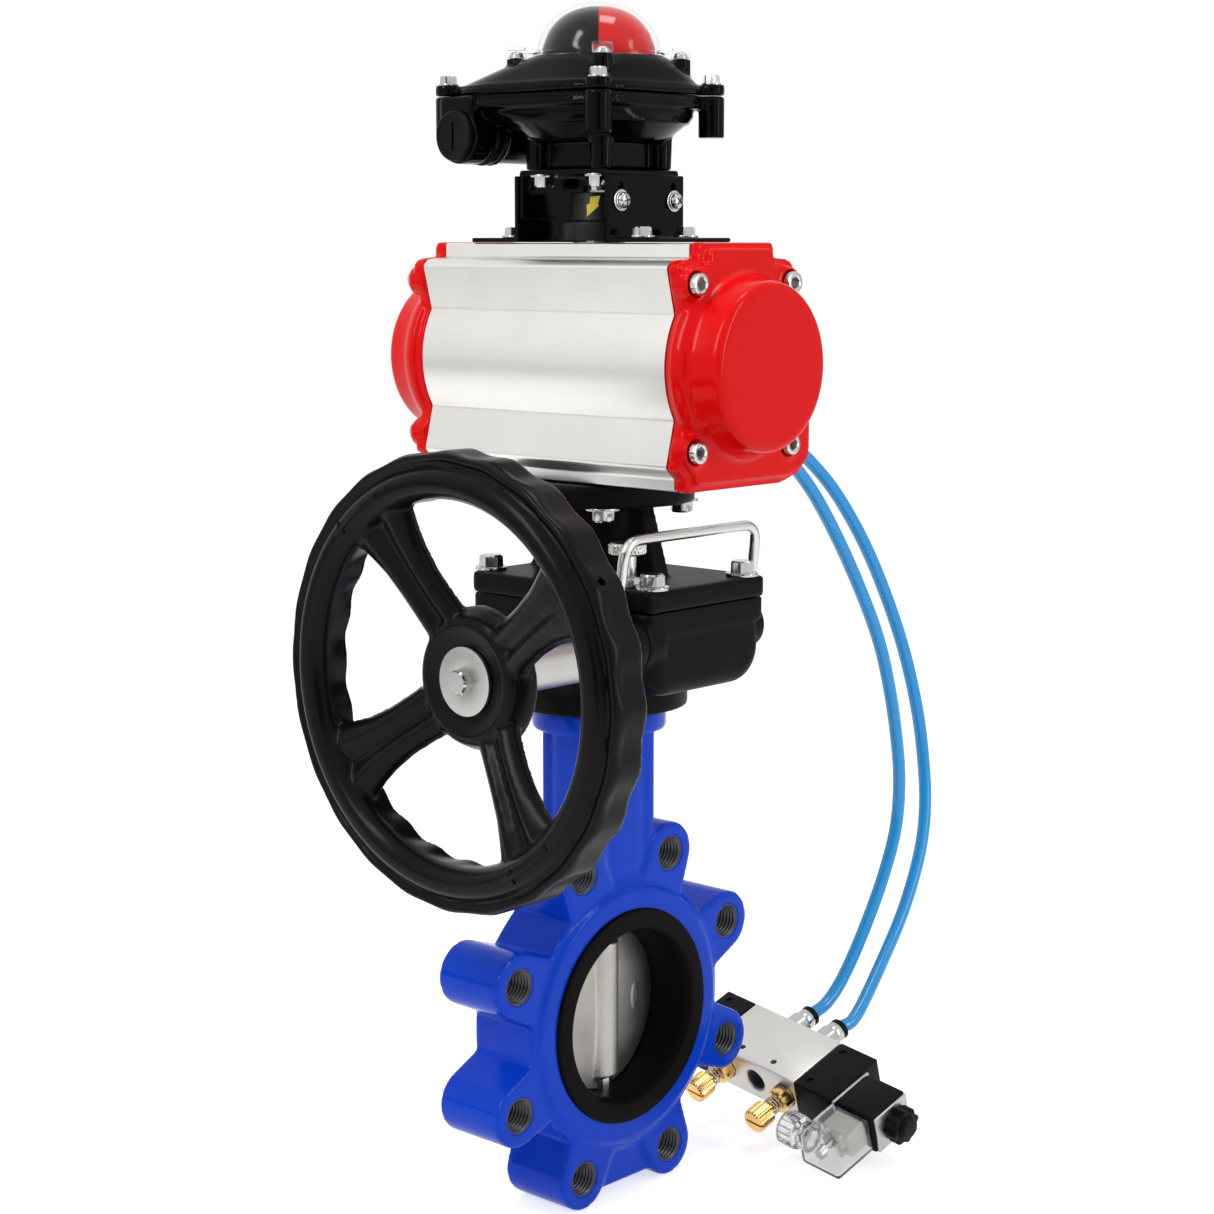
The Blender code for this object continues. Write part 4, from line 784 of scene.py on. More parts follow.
def make_gearbox(look):
    """The worm box with its lower corners rounded, its flange under it and a faint mould line."""
    x, low, top = BOX_X, BOX_Z[0] + 17, BOX_Z[1]
    outline = [(-x + 0.5, top + 9), (x - 0.5, top + 9)]
    outline += arc(x - 17.5, low, 17, 0, -90, 12) + arc(-x + 17.5, low, 17, -90, -180, 12)
    bm = slab(bmesh.new(), outline, BOX_Y[0] + 0.4, BOX_Y[1] - 0.4, "Y", 8.0, 6)
    collar = eased([(-x, BOX_Y[0]), (x, BOX_Y[0]), (x, BOX_Y[1]), (-x, BOX_Y[1])], 4.5, 4, True)
    slab(bm, collar, LEDGE_Z, top)
    lathe(bm, eased([(0, 150.3), (42, 150.3), (42, 160), (38, 170), (0, 170)], 1.2, 3))
    rod(bm, (-41.4, SLEEVE.y, SLEEVE.z), (-30, SLEEVE.y, SLEEVE.z), 14.5)
    shell = cast(work(bm), 1.0, 2)
    cut(shell, box(bmesh.new(), (-60, -90, top), (60, 70, top + 30)))
    journals = rod(bmesh.new(), (-60, SLEEVE.y, SLEEVE.z), (60, SLEEVE.y, SLEEVE.z), 11.9)
    room = lathe(bmesh.new(), [(0, 172), (36, 172), (36, 210), (0, 210)])
    stem_bore = rod(bmesh.new(), (0, 0, 140), (0, 0, 180), 11)
    worm_room = box(bmesh.new(), (-30, -66, 170), (30, -20, 211), 2)
    cut(shell, journals, room, stem_bore, worm_room)
    finish(shell, "gearbox_case", finishes(look)["gearbox"], "base", ["gearbox_housing"])


def rib(bm, axis, side):
    """Adds one of the column's four tapering ribs."""
    outline = [(side * 10, 211.4), (side * 41, 211.4), (side * 29.5, 248), (side * 10, 248)]
    return slab(bm, outline, -5, 5, axis, 0.8)


def make_gearbox_cover(look):
    """The cover plate with the ribbed column that carries the actuator's flange."""
    outline = eased([(-41.4, -68.3), (41.4, -68.3), (41.4, 45), (-41.4, 45)], 5, 5, True)
    bm = slab(bmesh.new(), outline, COVER_Z[0], COVER_Z[1], "Z", 1.6)
    lathe(bm, eased([(0, 210), (29, 210), (COLUMN_R, 216), (COLUMN_R, 250), (0, 250)], 2, 4))
    for side in (-1, 1):
        rib(bm, "Y", side)
        rib(bm, "X", side)
    under, top = TOP_FLANGE_Z
    lathe(bm, eased([(0, under), (TOP_FLANGE_R, under), (TOP_FLANGE_R, top), (0, top)], 1.0, 3))
    cover = cast(work(bm), 1.2, 3)
    shaft_bore = rod(bmesh.new(), (0, 0, 198), (0, 0, 262), 12)
    room = lathe(bmesh.new(), [(0, 198), (34, 198), (34, 207), (0, 207)])
    worm_room = box(bmesh.new(), (-28, -66, 198), (28, -22, 206.5))
    pin_bore = rod(bmesh.new(), (*PIN_AT, 198), (*PIN_AT, 220), 3.2)
    cut(cover, shaft_bore, room, worm_room, pin_bore)
    paint = finishes(look)
    finish(cover, "gearbox_lid", paint["gearbox"], "base", ["gearbox_cover"])
    head = work(hex_head(bmesh.new(), 10, 5.6, 7.6, 1.5))
    bolts = enumerate(COVER_BOLT_AT)
    places = [(Vector((x, y, COVER_Z[1])), facing((0, 0, 1), 17 * i)) for i, (x, y) in bolts]
    set_fasteners("cover_bolts", head, places, paint)
    under = work(hex_head(bmesh.new(), 10, 5.2, 8.0, 1.2))
    places = [(Vector((x, y, TOP_FLANGE_Z[0] + 0.4)), facing((0, 0, -1), 10)) for x, y in FLANGE_BOLT_AT]
    set_fasteners("flange_bolts", under, places, paint)


def make_worm(look):
    """The worm shaft with its light grey sleeve towards the handwheel."""
    crests = (8.9, 11.2, 8.9, 11.2, 8.9, 11.2, 8.9)
    profile = [(0, -13.5)] + [(r, -13.5 + 4.5 * i) for i, r in enumerate(crests)]
    profile += [(6.7, 13.8), (6.7, 45.6), (5.9, 46.4), (0, 46.4)]
    bm = lathe(bmesh.new(), profile, (0, WHEEL.y, WHEEL.z), "X")
    long_end = [(0, -128), (9.0, -128), (9.5, -127.4), (9.5, -58.6)]
    long_end += [(9.0, -58), (6.7, -58), (6.7, -13), (0, -13)]
    lathe(bm, long_end, (0, WHEEL.y, WHEEL.z), "X")
    paint = finishes(look)
    finish(work(bm), "worm", paint["satin_steel"], "handwheel", ["worm_shaft"])


def make_clutch(look):
    """The two off-centre journals and the bent rod that swings them."""
    paint = finishes(look)
    centre = (0, SLEEVE.y, SLEEVE.z)
    flange = [(0, -32), (11.5, -32), (11.5, -42.3), (14.8, -42.3)]
    flange += [(14.8, -49.5), (12.2, -49.5), (11.5, -50), (0, -50)]
    left = work(lathe(bmesh.new(), eased(flange, 0.5, 2), centre, "X"))
    plain = [(0, 32), (11.5, 32), (11.5, 42.6), (0, 42.6)]
    right = work(lathe(bmesh.new(), eased(plain, 0.5, 2), centre, "X"))
    low, high = (41.5, SLEEVE.y - 4.6, SLEEVE.z + 4.2), (48.9, SLEEVE.y + 4.6, SLEEVE.z + 13.8)
    combine(right, work(box(bmesh.new(), low, high, 1.5)), "UNION")
    for side, name, journal in ((-1, "left", left), (1, "right", right)):
        cut(journal, rod(bmesh.new(), (side * 20, WHEEL.y, WHEEL.z), (side * 60, WHEEL.y, WHEEL.z), 7.0))
        node = f"sleeve_{name}"
        finish(journal, f"journal_{name}", paint["gearbox"], "clutch", [node], sharp=25)
    side = [(46, SLEEVE.y, 199.2), (46, SLEEVE.y, 207.2), (46, -58, 236)]
    path = [(-x, y, z) for x, y, z in side] + side[::-1]
    bail = work(wire(bmesh.new(), eased(path, 10, 8), 2.5, 20))
    finish(bail, "bail", paint["steel"], "clutch", ["clutch_bail"])


def make_lock_pin(look):
    """The spring pin that holds the gearbox declutched: a hexagon seat and a knurled knob."""
    paint = finishes(look)
    seat = bmesh.new()
    hex_head(seat, 11.4, 3.8, base=213.75)
    lathe(seat, eased([(0, 217.3), (5.2, 217.3), (5.2, 217.9), (0, 217.9)], 0.2, 2), count=40)
    place = STEM @ Matrix.Translation((*PIN_AT, 0))
    finish(work(seat), "pin_seat", paint["zinc"], "base", ["lock_pin_base"], place, 25)
    bm = knurled(bmesh.new(), 8.6, 0.6, 227.8, 233.3, 30, True, 16)
    lathe(bm, eased([(0, 200), (2.5, 200), (2.5, 218), (4, 218), (4, 228), (0, 228)], 0.3, 2), count=40)
    finish(work(bm), "pin_knob", paint["steel"], "lock_pin", ["lock_pin"], place, 30)


# ---------------------------------------------------------------- handwheel


def spoke_sections(degrees):
    """A pressed channel with two ridges beside a groove, flaring into the rim."""
    stations = [(18, 14.5, -137.5), (26, 12.6, -140.6), (34, 12.0, -142.8), (46, 12.0, -145.6)]
    stations += [(58, 13.4, -147.8), (66, 15.6, -149.4), (74, 18.6, -150.6), (83, 24.0, -151.2)]
    across = [(-1.0, 4.4), (-0.82, 0.8), (-0.45, -1.9), (0.0, 2.4), (0.45, -1.9), (0.82, 0.8), (1.0, 4.4)]
    across = eased(across, 0.9, 5)
    along = Vector((0, math.cos(math.radians(degrees)), math.sin(math.radians(degrees))))
    sideways = Vector((0, -along.z, along.y))
    centre = Vector((0, WHEEL.y, WHEEL.z))
    sections = []
    for radius, half, x in stations:
        middle = centre + along * radius + Vector((x, 0, 0))
        front = [middle + sideways * half * v + Vector((dx, 0, 0)) for v, dx in across]
        back = [middle + sideways * half * v * 0.86 + Vector((dx + 3.4, 0, 0)) for v, dx in across]
        sections.append(front + back[::-1])
    return sections


def press_grips(obj, waves, depth):
    """Presses finger grips into the rim's outer wall and its inner back edge."""
    for vert in obj.data.vertices:
        y, z = vert.co.y - WHEEL.y, vert.co.z - WHEEL.z
        radius, angle = math.hypot(y, z), math.atan2(z, y)
        wave = 0.5 - 0.5 * math.cos(waves * angle)
        if radius > 91:
            reach = max(0.0, min(1.0, (vert.co.x + 156) / 8))
            push = -depth * wave * reach
        elif 72 < radius < 80.5:
            reach = max(0.0, min(1.0, (vert.co.x + 150) / 9))
            push = depth * wave * reach
        else:
            continue
        vert.co.y += y / radius * push
        vert.co.z += z / radius * push


def wheel_arrow(bm, centre_deg, half_deg, direction):
    """Adds a plain raised arrow that lies along the rim."""
    middle, head = 84.2, 3.2
    start, end = centre_deg - direction * half_deg, centre_deg + direction * half_deg
    neck = end - direction * 4.2
    steps = 14
    sweep = [start + (neck - start) * k / steps for k in range(steps + 1)]

    def at(degrees, radius):
        """A point on the wheel, in Y and Z."""
        angle = math.radians(degrees)
        return (WHEEL.y + radius * math.cos(angle), WHEEL.z + radius * math.sin(angle))

    outline = [at(a, middle - 1.3) for a in sweep] + [at(neck, middle - head), at(end, middle)]
    outline += [at(neck, middle + head)] + [at(a, middle + 1.3) for a in reversed(sweep)]
    return slab(bm, outline, -157.9, -155.0, "X", 0.4, 2)


def make_handwheel(look):
    """The pressed handwheel: rim, four channel spokes and a raised hub, with finger grips round it."""
    rim = [(76.5, -137.6), (76.5, -152.0), (80.5, -157.4), (87.6, -157.4), (90.4, -152.6), (92.2, -152.4)]
    rim += [(93.8, -154.4), (95.6, -154.2), (96.9, -151), (96.9, -135.6), (94.2, -135.6), (94.2, -149.0)]
    rim += [(89.5, -149.8), (87.0, -154.0), (82, -154.4), (79.1, -150.5), (79.1, -137.6)]
    bm = lathe(bmesh.new(), eased(rim, 2.4, 5, True), (0, WHEEL.y, WHEEL.z), "X", 288)
    for k in range(4):
        loft(bm, spoke_sections(56 + 90 * k))
    hub = [(0, -140), (16, -140), (19, -140.4), (23.5, -142.4), (27, -141), (30.5, -134)]
    hub += [(31, -129), (28, -129)]
    hub += [(26.5, -133), (24, -138), (22, -138.5), (18, -137), (9, -137), (9, -129), (0, -129)]
    lathe(bm, eased(hub, 1.6, 4), (0, WHEEL.y, WHEEL.z), "X", 128)
    wheel = cast(work(bm), 1.1, 5)
    press_grips(wheel, look.grip_waves, look.grip_depth)
    cut(wheel, rod(bmesh.new(), (-170, WHEEL.y, WHEEL.z), (-120, WHEEL.y, WHEEL.z), 3.6))
    outward = Vector((0, math.cos(math.radians(HANDLE_HOLE_DEG)), math.sin(math.radians(HANDLE_HOLE_DEG))))
    hole = Vector((-147.5, WHEEL.y, WHEEL.z)) + outward * 96
    cut(wheel, rod(bmesh.new(), hole - outward * 5, hole + outward * 8, 2.0, 24))
    paint = finishes(look)
    finish(wheel, "wheel", paint["wheel"], "handwheel", ["handwheel"], sharp=50)
    arrows = wheel_arrow(wheel_arrow(bmesh.new(), 53.5, 11, -1), -126.6, 10.5, 1)
    finish(work(arrows), "wheel_arrows", paint["wheel"], "handwheel")


def make_hub_bolt(look):
    """The flat washer and hexagon bolt that hold the wheel on its shaft."""
    paint = finishes(look)
    ring = [(3.3, -142.2), (14.7, -142.2), (14.7, -140.5), (3.3, -140.5)]
    washer = work(lathe(bmesh.new(), eased(ring, 0.25, 2, True), (0, WHEEL.y, WHEEL.z), "X", 96))
    finish(washer, "wheel_washer", paint["satin_steel"], "handwheel", ["hub_washer"], sharp=25)
    bm = hex_head(bmesh.new(), 10, 4.6)
    rod(bm, (0, 0, -13), (0, 0, 0.1), 3.0)
    toward = Matrix.Translation((-142.3, WHEEL.y, WHEEL.z)) @ facing((-1, 0, 0)).to_matrix().to_4x4()
    finish(work(bm), "wheel_bolt", paint["zinc"], "handwheel", ["hub_bolt"], STEM @ toward, 25)


# ---------------------------------------------------------------- actuator


def body_outline(inward=0.0, ease=1.2):
    """The extrusion's end view, in X and Z: grooved top corners and a bulged side."""
    right = [(33.9, 258.3), (46, 262.3), (52, 268.9), (52, 330.3), (39.7, 336.3), (39.7, 355.7)]
    right += [(36.5, 358.5), (24.7, 359.5), (24.7, TOP_Z)]
    top = [(-24.7, TOP_Z), (-24.7, 359.5), (-36.5, 358.5), (-39.7, 355.7)]
    bulge = arc(2.6, AXIS_Z, 43.5, 148.5, 211.5, 24)
    low = [(-39.7, 268.9), (-36.5, 266), (-33.9, 264), (-33.9, 258.3)]
    return eased(inset(right + top + bulge + low, inward), ease, 3, True)


def make_extrusion(look):
    """The anodised cylinder body with its bore."""
    body = work(slab(bmesh.new(), body_outline(), -BODY_Y, BODY_Y, "Y"))
    bore = rod(bmesh.new(), (0, -90, AXIS_Z), (0, 90, AXIS_Z), 37.5, 96)
    pinion_bore, ports = rod(bmesh.new(), (0, 0, 250), (0, 0, 380), 12, 48), bmesh.new()
    for y in (-PORT_Y, PORT_Y):
        rod(ports, (45, y, PORT_Z), (70, y, PORT_Z), 6.2, 32)
    cut(body, bore, pinion_bore, ports)
    paint = finishes(look)
    finish(body, "cylinder_body", paint["anodised"], "base", ["actuator_body"], sharp=25)


def make_caps(look):
    """The two red end caps: a flange on the body's outline, a raised step and a round boss."""
    paint = finishes(look)
    for side, end in ((-1, "front"), (1, "rear")):
        low, step, face = (side * y for y in CAP_Y)
        bm = slab(bmesh.new(), body_outline(-0.3, 1.8), min(low, step), max(low, step), "Y")
        slab(bm, body_outline(3.0, 2.0), min(low, face), max(low, face), "Y")
        boss = [(0, side * 80), (44, side * 80), (42.5, side * 86.5), (40, side * 89), (38.5, side * 96)]
        boss += [(37.2, side * BOSS_Y), (0, side * BOSS_Y)]
        lathe(bm, eased(boss, 3.2, 6), (0, 0, AXIS_Z), "Y", 128)
        for x, z in SCREW_AT:
            rod(bm, (x, side * 78, z), (x, side * 87, z), 7.2, 40)
        cap = cast(work(bm), 1.0, 4)
        trim = bmesh.new()
        near, far = sorted((side * 60, side * (BODY_Y + 0.3)))
        box(trim, (-80, near, 240), (80, far, 380))
        cut(cap, trim)
        wells = rod(bmesh.new(), (0, side * 70, AXIS_Z), (0, side * 100, AXIS_Z), 34, 96)
        cut(cap, wells)
        pockets, bores = bmesh.new(), bmesh.new()
        for x, z in SCREW_AT:
            rod(pockets, (x, side * 84.3, z), (x, side * 99, z), 6.0, 40)
            rod(bores, (x, side * 70, z), (x, side * 90, z), 3.2, 24)
        cut(cap, pockets, bores)
        finish(cap, f"cap_{end}", paint["red"], "base", [f"end_cap_{end}"], sharp=40)
    head = work(socket_head(bmesh.new(), 5.0, 5.6, 5.0, 3.0))
    places = []
    for side in (-1, 1):
        places += [(Vector((x, side * 84.6, z)), facing((0, side, 0), 20)) for x, z in SCREW_AT]
    set_fasteners("cap_screws", head, places, paint, [f"cap_screw_{k}" for k in range(1, 5)], 30)


def make_ports(look):
    """The two push-in air fittings on the far side of the cylinder."""
    paint = finishes(look)
    for y, letter in ((-PORT_Y, "a"), (PORT_Y, "b")):
        bm = bmesh.new()
        turn = Matrix.Translation((52.4, y, PORT_Z)) @ facing((1, 0, 0)).to_matrix().to_4x4()
        hex_head(bm, 13.4, 8.4)
        lathe(bm, eased([(0, 8), (6, 8), (6, 18.6), (4, 18.6), (4, 9), (0, 9)], 0.4, 2), count=48)
        lathe(bm, eased([(0, -9), (5, -9), (5, 0.4), (0, 0.4)], 0.3, 2), count=40)
        fitting = work(bm)
        node = f"port_fitting_{letter}"
        finish(fitting, f"air_port_{letter}", paint["zinc"], "base", [node], STEM @ turn, 25)
        ring = eased([(3.7, 18.7), (5.7, 18.7), (5.7, 21.4), (3.7, 21.4)], 0.5, 3, True)
        collar = work(lathe(bmesh.new(), ring))
        finish(collar, f"release_collar_{letter}", paint["plastic"], "base",
               place=STEM @ turn, sharp=30)


# ---------------------------------------------------------------- switch box


def make_bracket(look):
    """The bent plates under the switch box, with their screws, nuts and washers."""
    paint = finishes(look)
    wall = [(-27.5, 377), (-27.5, 399), (27.5, 399), (27.5, 377), (25.5, 377), (25.5, 397), (-25.5, 397)]
    top = work(slab(bmesh.new(), eased(wall + [(-25.5, 377)], 2.0, 4, True), -24, 24, "X"))
    holes = rod(bmesh.new(), (0, 0, 380), (0, 0, 410), 13.4, 48)
    for x in (-18, 18):
        rod(holes, (x, -40, 391.5), (x, 40, 391.5), 1.6, 24)
        rod(holes, (x * 0.9, -40, 381), (x * 0.9, 40, 381), 1.3, 24)
    cut(top, holes)
    finish(top, "bracket_bridge", paint["gloss"], "base", ["bracket_top"], sharp=30)
    for side, end in ((-1, "front"), (1, "rear")):
        bend = [(-58, FOOT_Z), (-27.8, FOOT_Z), (-27.8, 396.5), (-29.8, 396.5)]
        bend += [(-29.8, 368.4), (-58, 368.4)]
        bend = [(y * -side, z) for y, z in bend]
        foot = work(slab(bmesh.new(), eased(bend, 1.6, 4, True), -25, 25, "X"))
        bores = bmesh.new()
        for x in (-18, 18):
            rod(bores, (x, side * 20, 391.5), (x, side * 40, 391.5), 1.8, 24)
        for x in (-15, 15):
            rod(bores, (x, side * 52, 360), (x, side * 52, 372), 2.0, 24)
        cut(foot, bores)
        node = f"bracket_foot_{end}"
        finish(foot, f"bracket_leg_{end}", paint["gloss"], "base", [node], sharp=30)
    spots = [(side, x) for side in (-1, 1) for x in (-18, 18)]
    places = [(Vector((x, side * 29.8, 385)), facing((0, side, 0), 30 + x)) for side, x in spots]
    set_fasteners("leg_screws", cross_head(3.6, 2.6), places, paint)
    nut = work(hex_head(bmesh.new(), 9, 4.4, 6.4, 1.3))
    places = [(Vector((x, y, 397)), facing((0, 0, -1), 12)) for x in (-18.8, 18.8) for y in (-17, 17)]
    set_fasteners("bridge_nuts", nut, places, paint)
    bolt = work(hex_head(bmesh.new(), 8, 3.8, 5.8, 1.1))
    places = [(Vector((x, y, 368.4)), facing((0, 0, 1), 25)) for x in (-15, 15) for y in (-40, 40)]
    set_fasteners("foot_bolts", bolt, places, paint)


def make_coupler(look):
    """The coupling between the pinion and the switch shaft, with its plain yellow arrow."""
    paint = finishes(look)
    profile = [(0, 376), (8.3, 376), (8.3, 367), (18.6, 367), (18.6, 375.5)]
    profile += [(14.2, 376.3), (12.6, 389), (0, 389)]
    finish(work(lathe(bmesh.new(), eased(profile, 0.7, 3))), "coupling", paint["coupler"], "drive",
           ["shaft_coupler"])
    flat = [(-1.5, 4.3), (3.1, 4.7), (2.0, 1.0), (2.6, 0.3), (-2.6, -4.7), (-3.0, 0.7), (-1.7, 1.3)]
    sections = []
    for lift in (0.0, 0.35):
        ring = []
        for s, rise in flat:
            radius = 13.5 - rise * 0.126 + lift
            angle = math.radians(212) + s / 13.3
            ring.append(Vector((radius * math.cos(angle), radius * math.sin(angle), 382.6 + rise)))
        sections.append(ring)
    arrow = work(loft(bmesh.new(), sections))
    finish(arrow, "coupling_arrow", paint["yellow"], "drive")


def make_switch_base(look):
    """The lower half of the switch box: pedestal, bowl, stepped rim, corner posts and conduit boss."""
    bm = bmesh.new()
    box(bm, (-18.5, -18.5, 399.1), (18.5, 18.5, 414), 1.0)
    for x in (-20, 20):
        for y in (-20, 20):
            rod(bm, (x, y, 399.1), (x, y, 416), 5.0, 32, 5.6)
    bowl = [(30, 30, 2, 411.8, 0), (31, 31, 2, 412.4, 0), (40.6, 41, 2.1, 419.4, 2)]
    bowl += [(41.4, 41.6, 2.2, 419.8, 2), (42.2, 44.6, 3, 423.4, 7)]
    bowl += [(42.4, 46, 3, 426.2, 9), (43.8, 50.2, 4.5, 427.0, 12)]
    bowl += [(43.8, 50.2, 4.5, 429.2, 12), (43.0, 49.4, 4.5, 429.7, 12), (43.0, 49.4, 4.5, 431.2, 12)]
    bowl += [(44.0, 50.4, 4.5, 431.6, 12), (44.0, 50.4, 4.5, SPLIT_Z, 12)]
    loft(bm, [superellipse(x, y, power, z, cy, 128) for x, y, power, z, cy in bowl])
    for x, y in POST_AT:
        rod(bm, (x, y, 413.8), (x, y, SPLIT_Z), 6.0, 40)
    boss = [(0, -46), (12.6, -46), (12.6, -34), (11.8, -33), (11.8, 33), (12.6, 34), (12.6, 46), (0, 46)]
    lathe(bm, eased(boss, 0.8), CONDUIT, "X", 64)
    box(bm, (-46, 36, 414.5), (-30, 57.5, SPLIT_Z), 1.5)
    box(bm, (30, 36, 414.5), (46, 57.5, SPLIT_Z), 1.5)
    for k in (0, 1, 2):
        slim = [(13.3, -31.5 + 3 * k), (13.3, -30.3 + 3 * k), (9, -30.3 + 3 * k), (9, -31.5 + 3 * k)]
        lathe(bm, slim, CONDUIT, "X", 64)
    base = cast(work(bm), 0.85, 3)
    hollow = bmesh.new()
    loft(hollow, [superellipse(*s) for s in ((26, 26, 2, 416), (37, 38, 2.3, 424, 3), (38, 42, 3, 440, 8))])
    shaft_bore = rod(bmesh.new(), (0, 0, 390), (0, 0, 420), 7, 40)
    entry = rod(bmesh.new(), (-60, CONDUIT.y, CONDUIT.z), (-30, CONDUIT.y, CONDUIT.z), 8, 40)
    cut(base, hollow, shaft_bore, entry)
    finish(base, "switch_case", finishes(look)["gloss"], "base", ["switch_base"], sharp=45)


def make_switch_lid(look):
    """The upper half of the switch box: stepped lip, sloping cover and the dome's four bosses."""
    bm = bmesh.new()
    lid = [(44.0, 50.4, 4.5, SPLIT_Z + 0.3, 12), (44.0, 50.4, 4.5, 435.2, 12), (43.2, 49.6, 4.5, 435.7, 12)]
    lid += [(43.0, 49.4, 4.4, LID_Z - 0.3, 12), (42.0, 48.0, 4.2, LID_Z, 11.4), (36, 39, 3, 444.4, 5)]
    lid += [(33.5, 34.5, 2.5, 447.2, 2), (31, 31, 2.2, 449.4, 0.4), (30, 30, 2.1, 449.7, 0)]
    loft(bm, [superellipse(x, y, power, z, cy, 128) for x, y, power, z, cy in lid])
    for x, y in POST_AT:
        rod(bm, (x, y, SPLIT_Z + 0.3), (x, y, LID_Z + 0.3), 6.0, 40)
    for x, y in EAR_AT:
        rod(bm, (x, y, 438), (x, y, 449), 4.6, 40)
    cover = cast(work(bm), 0.85, 3)
    hollow = bmesh.new()
    levels = ((38, 43, 3.4, 425, 9), (37, 41, 3, 438, 7), (26, 26, 2, 447.4))
    loft(hollow, [superellipse(*level) for level in levels])
    cut(cover, hollow, rod(bmesh.new(), (0, 0, 430), (0, 0, 460), 25.4, 64))
    paint = finishes(look)
    finish(cover, "switch_cover", paint["gloss"], "base", ["switch_lid"], sharp=45)
    head = work(hex_head(bmesh.new(), 7, 3.6, 4.6, 0.9))
    places = [(Vector((x, y, LID_Z + 0.2)), facing((0, 0, 1), 25 * i)) for i, (x, y) in enumerate(POST_AT)]
    set_fasteners("cover_screws", head, places, paint)
    places = [(Vector((x, y, 449.2)), facing((0, 0, 1))) for x, y in EAR_AT]
    set_fasteners("dome_screws", cross_head(2.6, 1.6), places, paint, size=0.95)


def make_dome(look):
    """The clear dome, its seat ring and the cupped ears over its screws."""
    paint = finishes(look)
    bm = bmesh.new()
    shell = [(0, 449.9), (30.2, 449.9), (30.2, 451.6), (28.6, 452.0)]
    shell += [(28.3 * math.cos(a), 451 + 23.8 * math.sin(a)) for a in
              [math.pi / 2 * k / 20 for k in range(1, 20)]] + [(0, 474.8)]
    inner = [(0, 473.2)] + [(26.8 * math.cos(a), 450 + 23.2 * math.sin(a)) for a in
                            [math.pi / 2 * k / 20 for k in range(19, -1, -1)]]
    lathe(bm, shell, count=128)
    dome = cut(work(bm), lathe(bmesh.new(), inner + [(26.8, 449), (0, 449)], count=128))
    ears = bmesh.new()
    cup = eased([(0, 449.3), (4.6, 449.3), (4.6, 454), (3.6, 454), (3.6, 452.6), (0, 452.6)], 0.3, 2)
    for x, y in EAR_AT:
        lathe(ears, cup, (x, y, 0), count=40)
        inward = Vector((x, y, 0)).normalized()
        rod(ears, Vector((0, 0, 450.6)) + inward * 28.5, Vector((x, y, 450.6)), 1.0, 16)
    finish(dome, "clear_dome", paint["clear"], "base", ["indicator_dome"])
    finish(work(ears), "dome_ears", paint["clear"], "base")


def make_indicator(look):
    """The position drum under the dome, in black and red quarters."""
    profile = [(0, 472.6), (9, 471.6), (17, 468.2), (23, 461.8), (25.8, 454)]
    profile += [(25.8, 447.5), (25, 447), (0, 447)]
    drum = work(lathe(bmesh.new(), eased(profile, 4, 5), count=96))
    quarters = finishes(look)["quarters"]
    finish(drum, "indicator_drum", quarters, "drive", ["position_indicator"])


def make_plug(look):
    """The slotted blanking plug in the box's cable entry."""
    rim = [(0, -46.2), (11.4, -46.2), (11.4, -48.2), (10.6, -49), (9.8, -49), (9.5, -48.7), (0, -48.7)]
    plug = work(lathe(bmesh.new(), eased(rim, 0.3, 2), CONDUIT, "X", 96))
    low, high = CONDUIT + Vector((-55, -0.7, -6.3)), CONDUIT + Vector((-47.6, 0.7, 6.3))
    cut(plug, box(bmesh.new(), low, high, 0.3))
    paint = finishes(look)
    finish(plug, "entry_plug", paint["plastic"], "base", ["conduit_plug"], sharp=30)


# ---------------------------------------------------------------- solenoid valve


def make_block(look):
    """The aluminium spool block, with its ports, and the black end and pilot blocks beside it."""
    paint = finishes(look)
    block = work(box(bmesh.new(), (BLOCK_L[0], 0, 0), (BLOCK_L[1], BLOCK_W, BLOCK_T), 0.7, 2))
    spool_bore = rod(bmesh.new(), (10, BLOCK_W / 2, MID_T), (100, BLOCK_W / 2, MID_T), 6.0, 40)
    outlets, exhausts, chamfers, screws = (bmesh.new() for _ in range(4))
    for at in OUTLET_L:
        rod(outlets, (at, -5, MID_T), (at, BLOCK_W / 2, MID_T), 4.4, 40)
    for at in (*EXHAUST_L, INLET_L):
        rod(exhausts, (at, BLOCK_W + 5, MID_T), (at, BLOCK_W / 2, MID_T), 6.1, 48)
        rod(chamfers, (at, BLOCK_W + 0.5, MID_T), (at, BLOCK_W - 0.9, MID_T), 7.1, 48, 6.1)
    for at in (39.0, 61.0):
        rod(screws, (at, 31, -5), (at, 31, 40), 1.7, 32)
    cut(block, spool_bore, outlets, exhausts, chamfers, screws)
    finish(block, "spool_block", paint["block"], "base", ["valve_block"], SOLENOID, 25)
    deep, mouth = BLOCK_W - 12, BLOCK_W - 0.8
    thread = work(thread_rings(bmesh.new(), 6.1, 0.7, deep, mouth, 1.3, (INLET_L, 0, MID_T), "Y"))
    finish(thread, "inlet_thread", paint["thread"], "base", place=SOLENOID, sharp=30)
    ends = (("end_piece", "end_block", 0.0, 20.4), ("pilot_piece", "pilot_block", 80.6, 104.8))
    for name, node, low, high in ends:
        piece = work(box(bmesh.new(), (low, 0, 0), (high, BLOCK_W, BLOCK_T), 0.9))
        spots = bmesh.new()
        for w in (6, BLOCK_W - 6):
            rod(spots, (low + 6, w, -2), (low + 6, w, 0.8), 1.9, 32)
            rod(spots, (low + 6, w, BLOCK_T - 0.8), (low + 6, w, 30), 1.9, 32)
        cut(piece, spots)
        finish(piece, name, paint["plastic"], "base", [node], SOLENOID, 30)


